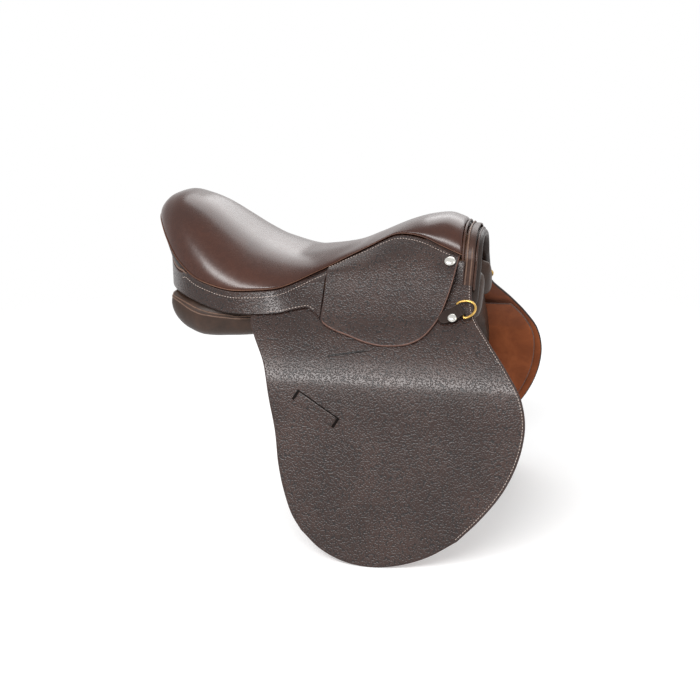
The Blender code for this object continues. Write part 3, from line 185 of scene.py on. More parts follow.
floor_mesh = bpy.data.meshes.new("floor")
turn = np.linspace(0, 2 * math.pi, 97)[:-1]
rim = np.stack([np.cos(turn), np.sin(turn), np.zeros_like(turn)], axis=1) * FLOOR_RADIUS
floor_mesh.from_pydata(rim.tolist(), [], [tuple(range(len(rim)))])
floor_mesh.materials.append(paint)
floor = bpy.data.objects.new("floor", floor_mesh)
floor.location = (0, 0, cad_box[0][2] - 0.001)
bpy.context.scene.collection.objects.link(floor)


# Tree. The hidden frame of the saddle: beech laminate bent over a mould, with a steel plate over
# and under its head, a spring along each rail and woven jute stretched over the top.
BEECH = (214, 172, 120)
BEECH_LATE = (168, 118, 72)
STEEL = (128, 128, 126)
JUTE = (186, 164, 126)
JUTE_DARK = (128, 104, 70)


def shader_of(name, colour, roughness, metallic=0.0):
    """A new material and its Principled shader, with the values that are the same all over."""
    made = bpy.data.materials.new(name)
    made.use_nodes = True
    shader = made.node_tree.nodes["Principled BSDF"]
    shader.inputs["Base Color"].default_value = srgb(*colour)
    shader.inputs["Roughness"].default_value = roughness
    shader.inputs["Metallic"].default_value = metallic
    return made, shader


def object_place(made, scale=(1, 1, 1), turn=(0, 0, 0)):
    """Object coordinates, stretched and turned for a pattern."""
    source = node(made, "ShaderNodeTexCoord")
    mapping = node(made, "ShaderNodeMapping", in_Scale=scale, in_Rotation=turn)
    join(made, (source.outputs["Object"], mapping.inputs["Vector"]))
    return mapping.outputs["Vector"]


def two_tone(made, amount, low, high):
    """A colour between two, by an amount from 0 to 1."""
    mix = node(made, "ShaderNodeMix", data_type="RGBA", in_6=srgb(*low), in_7=srgb(*high))
    join(made, (amount, mix.inputs[0]))
    return mix.outputs[2]


def noise(made, place, scale, detail=3.0, roughness=0.55, distortion=0.0):
    """Cloudy noise from 0 to 1: its scale, its octaves, how rough they are and how far they stray."""
    grain = node(made, "ShaderNodeTexNoise", in_Scale=scale, in_Detail=detail, in_Roughness=roughness)
    grain.inputs["Distortion"].default_value = distortion
    join(made, (place, grain.inputs["Vector"]))
    return grain.outputs["Fac"]


def ranged(made, value, low, high, to_low=0.0, to_high=1.0):
    """A value stretched from one range to another, smooth at both ends."""
    fit = node(made, "ShaderNodeMapRange", interpolation_type="SMOOTHSTEP")
    for socket, limit in (("From Min", low), ("From Max", high), ("To Min", to_low), ("To Max", to_high)):
        fit.inputs[socket].default_value = limit
    join(made, (value, fit.inputs["Value"]))
    return fit.outputs["Result"]


def coloured(made, shader, amount, low, high):
    """Gives the shader a colour between two, by an amount."""
    join(made, (two_tone(made, amount, low, high), shader.inputs["Base Color"]))


def roughened(made, shader, amount, low, high, to_low, to_high):
    """Gives the shader a roughness that follows an amount."""
    join(made, (ranged(made, amount, low, high, to_low, to_high), shader.inputs["Roughness"]))


def bumped(made, shader, *layers):
    """Bump layers, each a height, its strength and its depth in metres."""
    normal = None
    for height, strength, depth in layers:
        bump = node(made, "ShaderNodeBump", in_Strength=strength, in_Distance=depth)
        join(made, (height, bump.inputs["Height"]))
        if normal is not None:
            join(made, (normal, bump.inputs["Normal"]))
        normal = bump.outputs["Normal"]
    join(made, (normal, shader.inputs["Normal"]))


def beech():
    """Beech: long pale and dark figure along the grain, and fine pores."""
    made, shader = shader_of("beech_laminate", BEECH, 0.55)
    place = object_place(made, (2.0, 26, 26))
    figure = noise(made, place, 9, 6, 0.6, 0.6)
    pores = noise(made, object_place(made, (30, 420, 420)), 2.2, 4, 0.7)
    coloured(made, shader, ranged(made, figure, 0.35, 0.7), BEECH, BEECH_LATE)
    roughened(made, shader, pores, 0.3, 0.7, 0.42, 0.66)
    bumped(made, shader, (figure, 0.25, 0.0004), (pores, 0.3, 0.0002))
    return made


def forged_metal(name, colour, roughness, pit):
    """Metal with a faint forged or cast skin: wide dents, fine pits and uneven polish."""
    made, shader = shader_of(name, colour, roughness, 1.0)
    place = object_place(made)
    dents = noise(made, place, 90, 3)
    pits = noise(made, place, 1400, 4, 0.7)
    roughened(made, shader, dents, 0.3, 0.7, roughness * 0.8, roughness * 1.35)
    bumped(made, shader, (dents, 0.15, 0.0003), (pits, pit, 0.0001))
    return made


def jute():
    """Woven jute: two crossed waves for warp and weft, and loose fibre over both."""
    made, shader = shader_of("jute_webbing", JUTE, 0.9)
    shader.inputs["Sheen Weight"].default_value = 0.2
    threads = []
    for turn in ((0, 0, 0), (0, 0, math.pi / 2)):
        wave = node(made, "ShaderNodeTexWave", in_Scale=190, in_Distortion=0.6, in_Detail=2)
        join(made, (object_place(made, turn=turn), wave.inputs["Vector"]))
        threads.append(wave.outputs["Fac"])
    weave = node(made, "ShaderNodeMath", operation="MULTIPLY")
    join(made, (threads[0], weave.inputs[0]), (threads[1], weave.inputs[1]))
    fibre = noise(made, object_place(made), 1500, 3, 0.7)
    coloured(made, shader, ranged(made, weave.outputs[0], 0.0, 0.6), JUTE_DARK, JUTE)
    bumped(made, shader, (weave.outputs[0], 0.7, 0.0008), (fibre, 0.4, 0.0002))
    return made


def dress(finish, *names):
    """Gives CAD nodes a finish."""
    for name in names:
        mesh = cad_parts[name].data
        mesh.materials.clear()
        mesh.materials.append(finish)


BEECH_FINISH = beech()
STEEL_FINISH = forged_metal("forged_steel", STEEL, 0.42, 0.3)
JUTE_FINISH = jute()
SIDES = (("left", np.array([1, 1, 1])), ("right", np.array([1, -1, 1])))
dress(BEECH_FINISH, "tree_frame")
dress(STEEL_FINISH, "head_plate", "gullet_plate", "tree_spring_left", "tree_spring_right")
dress(JUTE_FINISH, "seat_webbing")


# Stirrup bars. Each is forged steel, riveted to the tree under the skirt, with a small catch that
# turns down on its free end so that the leather can leave it.
for side, _ in SIDES:
    for part in ("stirrup_bar", "stirrup_catch", "bar_rivet_rear", "bar_rivet_front"):
        dress(STEEL_FINISH, f"{part}_{side}")


# Panels. Two wool-stuffed leather cushions that lie along the horse's back, with a welt round
# the rear gusset. Each runs down into a thinner pad under the flap.
PANEL_LEATHER = (46, 33, 26)
PANEL_WORN = (68, 49, 39)
PANEL_VOXEL = 0.0045
PANEL_PRESSURE = 4.0
PANEL_CAP = 0.004
CLOTH_FRAMES = 20
EVENING_ROUNDS = 14
WELT_DARK = (92, 70, 58)
WELT_LEATHER = (126, 99, 84)
PANEL_WELT_RADIUS = 0.0010


def smooth_leather(name, dark, pale, roughness, gloss, pore=0.12, crease=0.10):
    """Finished calf: slow tone changes, fine pores and a faint net of creases."""
    made, shader = shader_of(name, dark, roughness)
    shader.inputs["Specular IOR Level"].default_value = gloss
    place = object_place(made)
    tone = noise(made, place, 11, 4, 0.6, 0.3)
    mottle = noise(made, place, 130, 3, 0.6)
    both = node(made, "ShaderNodeMath", operation="MULTIPLY_ADD", in_1=0.35)
    join(made, (mottle, both.inputs[0]), (tone, both.inputs[2]))
    coloured(made, shader, ranged(made, both.outputs[0], 0.45, 0.95), dark, pale)
    roughened(made, shader, mottle, 0.3, 0.7, roughness * 0.94, roughness * 1.08)
    cells = node(made, "ShaderNodeTexVoronoi", feature="DISTANCE_TO_EDGE", in_Scale=520, in_Randomness=1.0)
    join(made, (place, cells.inputs["Vector"]))
    net = ranged(made, cells.outputs["Distance"], 0.0, 0.12)
    pores = noise(made, place, 2200, 2, 0.6)
    bumped(made, shader, (net, crease, 0.00012), (pores, pore, 0.00008))
    return made


def piece(name, points, faces, finishes, which=None):
    """A mesh object at the origin from points and faces, turned outwards by its own volume."""
    points = np.asarray(points, float)
    volume = 0.0
    widest = max(len(face) for face in faces)
    for step in range(1, widest - 1):
        fan = [face for face in faces if len(face) > step + 1]
        a, b, c = (points[[face[i] for face in fan]] for i in (0, step, step + 1))
        volume += float(np.sum(a * np.cross(b, c)))
    if volume < 0:
        faces = [face[::-1] for face in faces]
    mesh = bpy.data.meshes.new(name)
    mesh.from_pydata(points.tolist(), [], faces)
    for finish in finishes:
        mesh.materials.append(finish)
    if which is not None:
        mesh.polygons.foreach_set("material_index", np.asarray(which, np.int32))
    mesh.shade_smooth()
    made = bpy.data.objects.new(name, mesh)
    bpy.context.scene.collection.objects.link(made)
    return made


def applied(obj):
    """Bakes the modifiers of an object into its mesh."""
    ready = obj.evaluated_get(bpy.context.evaluated_depsgraph_get())
    mesh = bpy.data.meshes.new_from_object(ready)
    obj.modifiers.clear()
    old = obj.data
    obj.data = mesh
    bpy.data.meshes.remove(old)


def relaxed(obj, rounds):
    """Smooths a mesh: each point goes half way to the middle of its neighbours, a few times over."""
    relax = obj.modifiers.new("relax", "SMOOTH")
    relax.factor = 0.5
    relax.iterations = rounds
    applied(obj)


def inflated(obj, pressure, cap, pinned=None):
    """Blows a closed piece up like a stuffed skin, then holds every point within the cap.

    The Cloth runs for some frames without gravity. A point further than the cap from where it began
    is drawn back along its way to the cap itself. Each point's way is then evened out with its
    neighbours', half and half, a few times over, as foam does under a hide.
    """
    scene = bpy.context.scene
    count = len(obj.data.vertices)
    before = np.empty(count * 3)
    obj.data.vertices.foreach_get("co", before)
    cloth = obj.modifiers.new("stuffing", "CLOTH")
    cloth.settings.use_pressure = True
    cloth.settings.uniform_pressure_force = pressure
    cloth.settings.effector_weights.gravity = 0
    cloth.settings.quality = 5
    if pinned is not None:
        group = obj.vertex_groups.new(name="seam")
        group.add([int(i) for i in pinned], 1.0, "REPLACE")
        cloth.settings.vertex_group_mass = "seam"
    for step in range(1, CLOTH_FRAMES + 1):
        scene.frame_set(step)
    ready = obj.evaluated_get(bpy.context.evaluated_depsgraph_get())
    after = np.empty(count * 3)
    ready.data.vertices.foreach_get("co", after)
    obj.modifiers.clear()
    obj.vertex_groups.clear()
    scene.frame_set(1)
    before, after = before.reshape(-1, 3), after.reshape(-1, 3)
    move = after - before
    length = np.linalg.norm(move, axis=1)
    move *= np.minimum(1, cap / np.maximum(length, 1e-9))[:, None]
    ends = np.empty(len(obj.data.edges) * 2, dtype=np.int32)
    obj.data.edges.foreach_get("vertices", ends)
    shared = np.bincount(ends, minlength=count)[:, None]
    first, second = ends.reshape(-1, 2).T
    for _ in range(EVENING_ROUNDS):
        around = np.zeros_like(move)
        np.add.at(around, first, move[second])
        np.add.at(around, second, move[first])
        move = move / 2 + around / shared / 2
        if pinned is not None:
            move[pinned] = 0
    obj.data.vertices.foreach_set("co", (before + move).reshape(-1))
    obj.data.update()


def subdivided(obj, levels=1):
    """Live Catmull-Clark subdivision, the same in the view as in the render."""
    finer = obj.modifiers.new("finer", "SUBSURF")
    finer.levels = finer.render_levels = levels


def run_along(line):
    """Each point's distance from the first, along the line."""
    return np.concatenate([[0], np.cumsum(np.linalg.norm(np.diff(line, axis=0), axis=1))])


def sampled(line, run, places):
    """The line's values at places along it, straight between its points."""
    return np.stack([np.interp(places, run, values) for values in line.T], axis=1)


def resampled(line, count):
    """The same line with a number of points, evenly spaced along it."""
    run = run_along(line)
    return sampled(line, run, np.linspace(0, run[-1], count))


def cubic(t, step, start, start_slope, end, end_slope):
    """The cubic over a step from start to end with a slope at each, at t from 0 to 1."""
    from_start = (1 + 2 * t) * (1 - t) ** 2 * start + t * (1 - t) ** 2 * step * start_slope
    to_end = t**2 * (3 - 2 * t) * end - t**2 * (1 - t) * step * end_slope
    return from_start + to_end


def through(points, count):
    """A smooth curve through points, evenly spaced: cubic pieces whose slopes follow the neighbours."""
    points = np.asarray(points, float)
    place = run_along(points)
    slope = np.gradient(points, place, axis=0)
    fine = np.linspace(0, place[-1], 24 * len(points))
    k = np.clip(np.searchsorted(place, fine, side="right") - 1, 0, len(points) - 2)
    step = (place[k + 1] - place[k])[:, None]
    t = (fine - place[k])[:, None] / step
    return resampled(cubic(t, step, points[k], slope[k], points[k + 1], slope[k + 1]), count)


def unit(vectors):
    """Each vector divided by its length."""
    return vectors / np.maximum(np.linalg.norm(vectors, axis=-1, keepdims=True), 1e-12)


def circle(radius, sides=12):
    """Section of a round cord."""
    angle = np.arange(sides) * 2 * math.pi / sides
    return np.stack([np.cos(angle), np.sin(angle)], axis=1) * radius


def tube(rings):
    """Quads between rings of point numbers, each ring closed on itself."""
    first, second = rings[:-1], rings[1:]
    quads = np.stack([first, np.roll(first, -1, axis=1), np.roll(second, -1, axis=1), second], axis=2)
    return quads.reshape(-1, 4).tolist()


def lengthened(values, before, after):
    """A line of values with more at its start and its end."""
    return np.concatenate([before, values, after])


def swept(path, up, section, closed=False):
    """Points and faces of a section carried along a path.

    At each point of the path the section's first measure runs across it, square to the way and to
    up, and its second runs along up. Open ends are rounded off by rings that shrink to the middle.
    """
    path = np.asarray(path, float)
    up = np.broadcast_to(np.asarray(up, float), path.shape)
    if closed:
        way = unit(np.roll(path, -1, axis=0) - np.roll(path, 1, axis=0))
    else:
        way = unit(np.gradient(path, axis=0))
    up = unit(up - way * np.sum(up * way, axis=1, keepdims=True))
    across = np.cross(way, up)
    size = np.ones(len(path))
    if not closed:
        angle = np.radians([80, 55, 30])
        beyond = (float(np.abs(section).max()) * np.sin(angle))[:, None]
        path = lengthened(path, path[:1] - way[:1] * beyond, path[-1:] + way[-1:] * beyond[::-1])
        size = lengthened(size, np.cos(angle), np.cos(angle[::-1]))
        up = lengthened(up, up[[0] * 3], up[[-1] * 3])
        across = lengthened(across, across[[0] * 3], across[[-1] * 3])
    section = section[None] * size[:, None, None]
    rings = path[:, None] + across[:, None] * section[..., :1] + up[:, None] * section[..., 1:]
    index = np.arange(rings.shape[0] * rings.shape[1]).reshape(rings.shape[:2])
    if closed:
        faces = tube(np.concatenate([index, index[:1]]))
    else:
        faces = tube(index) + [index[0, ::-1].tolist(), index[-1].tolist()]
    return rings.reshape(-1, 3), faces


PANEL_FINISH = smooth_leather("panel_leather", PANEL_LEATHER, PANEL_WORN, 0.44, 0.26)
WELT_FINISH = smooth_leather("edge_leather", WELT_DARK, WELT_LEATHER, 0.46, 0.32)
REAR_WELTS = (
    # (place, half-width, height) along each welt, from the side round to the channel
    (
        (-0.112, 0.150, 0.0225), (-0.150, 0.148, 0.0205), (-0.195, 0.138, 0.026), (-0.232, 0.116, 0.038),
        (-0.256, 0.090, 0.041), (-0.262, 0.066, 0.042), (-0.260, 0.046, 0.042),
    ),
    (
        (-0.116, 0.150, 0.015), (-0.155, 0.146, 0.013), (-0.200, 0.135, 0.018), (-0.236, 0.112, 0.031),
        (-0.257, 0.088, 0.036), (-0.262, 0.066, 0.037), (-0.260, 0.046, 0.037),
    ),
)
for side, mirror in SIDES:
    skin = bmesh.new()
    skin.from_mesh(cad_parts[f"panel_{side}"].data)
    bmesh.ops.remove_doubles(skin, verts=skin.verts, dist=1e-5)
    mesh = bpy.data.meshes.new(f"panel_skin_{side}")
    skin.to_mesh(mesh)
    skin.free()
    panel = bpy.data.objects.new(f"panel_skin_{side}", mesh)
    bpy.context.scene.collection.objects.link(panel)
    mesh.materials.clear()
    mesh.materials.append(PANEL_FINISH)
    remesh = panel.modifiers.new("skin", "REMESH")
    remesh.mode = "VOXEL"
    remesh.voxel_size = PANEL_VOXEL
    remesh.use_smooth_shade = True
    relaxed(panel, 12)
    inflated(panel, PANEL_PRESSURE, PANEL_CAP)
    relaxed(panel, 4)
    subdivided(panel)
    panel.data.shade_smooth()
    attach(panel, "saddle")
    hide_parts(f"panel_{side}")
    cushion = BVHTree.FromObject(panel, bpy.context.evaluated_depsgraph_get())
    for number, stations in enumerate(REAR_WELTS):
        guess = through(stations, 90) * mirror
        path = through([cushion.find_nearest(Vector(point))[0] for point in guess[::6]], 120)
        out = [cushion.find_nearest(Vector(point))[1] for point in path]
        points, faces = swept(path, out, circle(PANEL_WELT_RADIUS, 10))
        welt = piece(f"panel_welt_{number}_{side}", points, faces, [WELT_FINISH])
        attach(welt, "saddle")


# Girth webs and straps. Two jute webs run down over the tree on each side, and three leather
# straps with punched holes are sewn to them, where the girth is buckled.
SIDE_STATIONS = (
    # height and half-width of the flap's outer face
    (0.122, 0.078), (0.090, 0.092), (0.060, 0.112), (0.030, 0.140), (0.000, 0.172), (-0.030, 0.195),
    (-0.058, 0.2095), (-0.120, 0.2248), (-0.340, 0.2789),
)
FLAP_THICKNESS = 0.004
STRAP_LIFT = -0.0063
STRAP_THICKNESS = 0.0037
STRAP_PLACES = {"front": 0.095, "middle": 0.043, "rear": -0.009}
STRAP_WIDTH = 0.028
STRAP_LENGTH = 0.150
STRAP_PIVOT_HEIGHT = -0.074
STRAP_HOLES = 6
HOLE_PITCH = 0.016
HOLE_RADIUS = 0.0022
LAST_HOLE = 0.034
TIP_START, TIP_REACH = 0.012, 0.011
STRAP_LEATHER = (84, 50, 30)
# heights where a web leaves the tree, where it begins to spread and where it is fully spread
WEB_HEAD, WEB_KNEE, WEB_SETTLED = 0.070, 0.046, 0.010
WEB_LOW, WEB_HIGH = -0.0060, -0.0043


def smooth(stations):
    """A curve through (place, value) stations that never swings past them.

    Each piece is a cubic. Its slope at a station is the harmonic mean of the two chords beside it,
    or level where they turn.
    """
    place, value = np.array(stations, float).T
    step = np.diff(place)
    slope = np.diff(value) / step
    before, after = slope[:-1], slope[1:]
    same_way = before * after > 0
    middle = np.where(same_way, 2 * before * after / np.where(same_way, before + after, 1), 0)
    tangent = np.concatenate([slope[:1], middle, slope[-1:]])

    def at(x):
        """The curve's value at x, held at its ends."""
        x = np.clip(np.asarray(x, float), place[0], place[-1])
        k = np.clip(np.searchsorted(place, x, side="right") - 1, 0, len(step) - 1)
        return cubic((x - place[k]) / step[k], step[k], value[k], tangent[k], value[k + 1], tangent[k + 1])

    return at


side_height = np.linspace(SIDE_STATIONS[0][0], SIDE_STATIONS[-1][0], 900)
side_width = smooth([(-height, width) for height, width in SIDE_STATIONS])(-side_height)
side_step = np.hypot(np.diff(side_width), np.diff(side_height))
side_distance = np.concatenate([[0], np.cumsum(side_step)])
side_way = unit(np.stack([np.gradient(side_width), np.gradient(side_height)], axis=1))


def down(height):
    """Distance down the side of the saddle at a height."""
    return np.interp(-np.asarray(height, float), -side_height, side_distance)


def on_side(x, distance, lift):
    """A point of the side: along x, at a distance down its face, lifted out along the face's normal."""
    way = [np.interp(distance, side_distance, side_way[:, i]) for i in (0, 1)]
    width = np.interp(distance, side_distance, side_width) - lift * way[1]
    height = np.interp(distance, side_distance, side_height) + lift * way[0]
    return np.stack(np.broadcast_arrays(x, width, height), axis=-1)


def patch(top, front, foot, back):
    """A grid that fills four edges: both blends of opposite edges, less the blend of the corners."""
    u = np.linspace(0, 1, len(top))[None, :, None]
    v = np.linspace(0, 1, len(back))[:, None, None]
    across = (1 - u) * back[:, None] + u * front[:, None]
    along = (1 - v) * top[None] + v * foot[None]
    corners = (1 - v) * ((1 - u) * top[0] + u * top[-1]) + v * ((1 - u) * foot[0] + u * foot[-1])
    return across + along - corners


def cells_of(index):
    """Quads of a grid of point numbers."""
    return np.stack([index[:-1, :-1], index[:-1, 1:], index[1:, 1:], index[1:, :-1]], axis=2).reshape(-1, 4)


def border_of(index):
    """The point numbers round the edge of a grid, in order."""
    return np.concatenate([index[0, :-1], index[:-1, -1], index[-1, :0:-1], index[:0:-1, 0]])


def wall(rings):
    """Quads of the wall round a sheet, from one ring of point numbers to the next, in blocks."""
    return [
        np.stack([first, second, np.roll(second, -1), np.roll(first, -1)], axis=1)
        for first, second in zip(rings, rings[1:])
    ]


def outline(top, front, foot, back):
    """The four edges as one loop, and the way out of the loop at each point."""
    loop = np.concatenate([top[:-1], front[:-1], foot[:0:-1], back[:0:-1]])
    way = unit(np.roll(loop, -1, axis=0) - np.roll(loop, 1, axis=0))
    out = np.stack([way[:, 1], -way[:, 0]], axis=1)
    following = np.roll(loop, -1, axis=0)
    area = np.sum(loop[:, 0] * following[:, 1] - following[:, 0] * loop[:, 1])
    return loop, out if area > 0 else -out


def sheet(place, edges, low, high, edge=0.45, steps=5):
    """Points, faces and finish numbers of a sheet with rounded edges.

    Its edges are four lines in the sheet's own two measures, and place(x, distance, lift) puts a
    point in space. The face at lift high is finish 0, the one at lift low is finish 1, and the
    edge, a half ellipse between them, is finish 2.
    """
    loop, out = outline(*edges)
    radius, middle, half = (high - low) * edge, (high + low) / 2, (high - low) / 2
    inner_loop = loop - out * radius
    columns, rows = len(edges[0]), len(edges[1])
    turns = np.cumsum([0, columns - 1, rows - 1, columns - 1, rows - 1])
    ring = np.concatenate([inner_loop, inner_loop[:1]])
    top, front, foot, back = (ring[turns[i] : turns[i + 1] + 1] for i in range(4))
    grid = patch(top, front, foot[::-1], back[::-1])
    count = rows * columns
    index = np.arange(count).reshape(rows, columns)
    border = border_of(index)
    x, distance = grid[..., 0].reshape(-1), grid[..., 1].reshape(-1)
    points = [place(x, distance, np.full(count, high)), place(x, distance, np.full(count, low))]
    for turn in np.linspace(0, math.pi, steps + 1)[1:-1]:
        line = inner_loop + out * radius * math.sin(turn)
        points.append(place(line[:, 0], line[:, 1], np.full(len(line), middle + half * math.cos(turn))))
    rings = [2 * count + i * len(border) + np.arange(len(border)) for i in range(steps - 1)]
    cells = cells_of(index)
    quads = [cells, cells[:, ::-1] + count, *wall([border, *rings, border + count])]
    which = np.concatenate([np.full(len(block), min(i, 2)) for i, block in enumerate(quads)])
    return np.concatenate(points), np.concatenate(quads).tolist(), which


def square_edges(x_back, x_front, start, end, columns=24, rows=24, tip=0.0):
    """Edges of a plain strip in (x, distance).

    Its end is drawn out by tip times (1 less the share of the half-width to the power 2.4).
    """
    x = np.linspace(x_back, x_front, columns)
    top = np.stack([x, np.full(columns, start)], axis=1)
    foot = np.stack([x, end + tip * (1 - np.abs(np.linspace(-1, 1, columns)) ** 2.4)], axis=1)
    back, front = (np.linspace((x, start), (x, end), rows) for x in (x_back, x_front))
    return top, front, foot, back


def flesh_side(name, dark, pale):
    """The napped flesh side of leather: uneven tone, a soft sheen and a fibrous nap."""
    made, shader = shader_of(name, dark, 0.93)
    shader.inputs["Sheen Weight"].default_value = 0.25
    shader.inputs["Specular IOR Level"].default_value = 0.2
    place = object_place(made)
    clouds = noise(made, place, 26, 5, 0.65, 0.5)
    nap = noise(made, place, 900, 4, 0.75)
    coloured(made, shader, ranged(made, clouds, 0.3, 0.72), dark, pale)
    bumped(made, shader, (nap, 0.5, 0.0004))
    return made


def cut_edge(name, dark, pale, gloss=0.3):
    """The dyed and burnished edge of a hide, streaked along its layers."""
    made, shader = shader_of(name, dark, 0.55)
    shader.inputs["Specular IOR Level"].default_value = gloss
    streak = noise(made, object_place(made), 420, 4, 0.7)
    coloured(made, shader, ranged(made, streak, 0.3, 0.7), dark, pale)
    bumped(made, shader, (streak, 0.4, 0.0002))
    return made


STRAP_FINISH = smooth_leather("strap_leather", STRAP_LEATHER, (112, 70, 42), 0.45, 0.35)
STRAP_FLESH = flesh_side("strap_flesh", (118, 76, 48), (146, 100, 66))
EDGE_FINISH = cut_edge("cut_edge", (80, 56, 48), (112, 83, 73))
DYED_EDGE = cut_edge("dyed_edge", (38, 26, 23), (62, 44, 39))
WEB_SPANS = {
    # back and front place above, and below
    "front": (0.007, 0.044, 0.029, 0.109),
    "rear": (-0.011, 0.005, -0.023, 0.005),
}
pivot_distance = float(down(STRAP_PIVOT_HEIGHT))
strap_top = pivot_distance - STRAP_WIDTH / 2
web_foot = strap_top - 0.0005
head, knee, settled = (float(down(height)) for height in (WEB_HEAD, WEB_KNEE, WEB_SETTLED))
rows = np.concatenate([np.linspace(head, knee, 14), np.linspace(knee, web_foot, 46)[1:]])
share = smooth(((knee, 0.0), (settled, 1.0), (web_foot + 0.001, 1.0)))(rows)
strap_end = pivot_distance + STRAP_LENGTH
holes = strap_end - LAST_HOLE - np.arange(STRAP_HOLES) * HOLE_PITCH
strap_half = STRAP_WIDTH / 2
strap_low = STRAP_LIFT - STRAP_THICKNESS
strap_finishes = [STRAP_FINISH, STRAP_FLESH, EDGE_FINISH]
punch_lifts = np.array([strap_low - 0.003, STRAP_LIFT + 0.003])
for side, mirror in SIDES:
    for name, (back_top, front_top, back_foot, front_foot) in WEB_SPANS.items():
        front = np.stack([front_top + (front_foot - front_top) * share, rows], axis=1)
        back = np.stack([back_top + (back_foot - back_top) * share, rows], axis=1)
        edges = (np.linspace(back[0], front[0], 20), front, np.linspace(back[-1], front[-1], 20), back)
        points, faces, which = sheet(on_side, edges, WEB_LOW, WEB_HIGH, steps=3)
        web = piece(f"girth_web_cloth_{name}_{side}", points * mirror, faces, [JUTE_FINISH] * 3, which)
        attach(web, "saddle")
        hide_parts(f"girth_web_{name}_{side}")
    for name, x in STRAP_PLACES.items():
        span = (x - strap_half, x + strap_half, strap_top, strap_end - TIP_START)
        edges = square_edges(*span, 22, 90, TIP_REACH)
        points, faces, which = sheet(on_side, edges, strap_low, STRAP_LIFT, steps=6)
        strap = piece(f"girth_strap_leather_{name}_{side}", points * mirror, faces, strap_finishes, which)
        punches = []
        for hole in holes:
            start, end = on_side(x, np.full(2, hole), punch_lifts) * mirror
            points, faces = swept(np.linspace(start, end, 3), (1, 0, 0), circle(HOLE_RADIUS, 14))
            punches.append(piece("punch", points, faces, [EDGE_FINISH]))
            cut = strap.modifiers.new("hole", "BOOLEAN")
            cut.operation = "DIFFERENCE"
            cut.solver = "EXACT"
            cut.object = punches[-1]
        applied(strap)
        for punch in punches:
            bpy.data.objects.remove(punch)
        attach(strap, f"girth_strap_{name}_{side}")
        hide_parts(f"girth_strap_{name}_{side}")


# Sweat flaps and point pockets. A thin leather flap lies under the straps against the panel, and
# a leather pocket holds the foot of each tree point.
GRAINED_LEATHER = (43, 29, 25)
GRAINED_PALE = (57, 41, 36)
# Near-black painted shade, mixed into the pebbles' valleys and, darker still, along a crease.
GRAIN_VALLEY_SHADE = (20, 13, 12)
GRAIN_ROUGHNESS = 0.30
PEBBLE_SCALE = 430
PEBBLE_DEPTH = 0.00030
FLESH_DARK = (126, 65, 33)
FLESH_PALE = (154, 84, 46)
SWEAT_THICKNESS = 0.003
SWEAT_LIFT = -0.0105
POCKET_SPAN = (0.120, 0.182)
POCKET_HEIGHTS = (0.102, 0.002)
POCKET_LIFTS = (-0.0065, -0.0043)
SWEAT_FRONT = (
    # (height, place) down its front edge; its back edge and its foot follow
    (-0.005, 0.232), (-0.030, 0.252), (-0.065, 0.268), (-0.100, 0.270), (-0.150, 0.258),
    (-0.190, 0.235), (-0.218, 0.206), (-0.236, 0.172),
)
SWEAT_BACK = (
    (-0.005, -0.069), (-0.060, -0.062), (-0.150, -0.044), (-0.205, -0.022), (-0.232, 0.014),
    (-0.240, 0.045),
)
SWEAT_FOOT = ((-0.240, 0.045), (-0.2425, 0.080), (-0.2425, 0.135), (-0.236, 0.172))


def crease_along(made, place, ends):
    """1 on a straight line in x and z, fading to 0 beside it and towards its ends."""
    (x0, z0), (x1, z1) = ends
    slope = (z1 - z0) / (x1 - x0)
    parts = node(made, "ShaderNodeSeparateXYZ")
    join(made, (place, parts.inputs[0]))
    level = node(made, "ShaderNodeMath", operation="MULTIPLY_ADD", in_1=-slope)
    join(made, (parts.outputs[0], level.inputs[0]), (parts.outputs[2], level.inputs[2]))
    off = node(made, "ShaderNodeMath", operation="SUBTRACT", in_1=z0 - slope * x0)
    join(made, (level.outputs[0], off.inputs[0]))
    beside = node(made, "ShaderNodeMath", operation="ABSOLUTE")
    join(made, (off.outputs[0], beside.inputs[0]))
    mask = ranged(made, beside.outputs[0], 0.0017, 0.0003)
    for low, high in ((x0, x0 + 0.012), (x1, x1 - 0.020)):
        fade = node(made, "ShaderNodeMath", operation="MULTIPLY")
        join(made, (mask, fade.inputs[0]), (ranged(made, parts.outputs[0], low, high), fade.inputs[1]))
        mask = fade.outputs[0]
    return mask


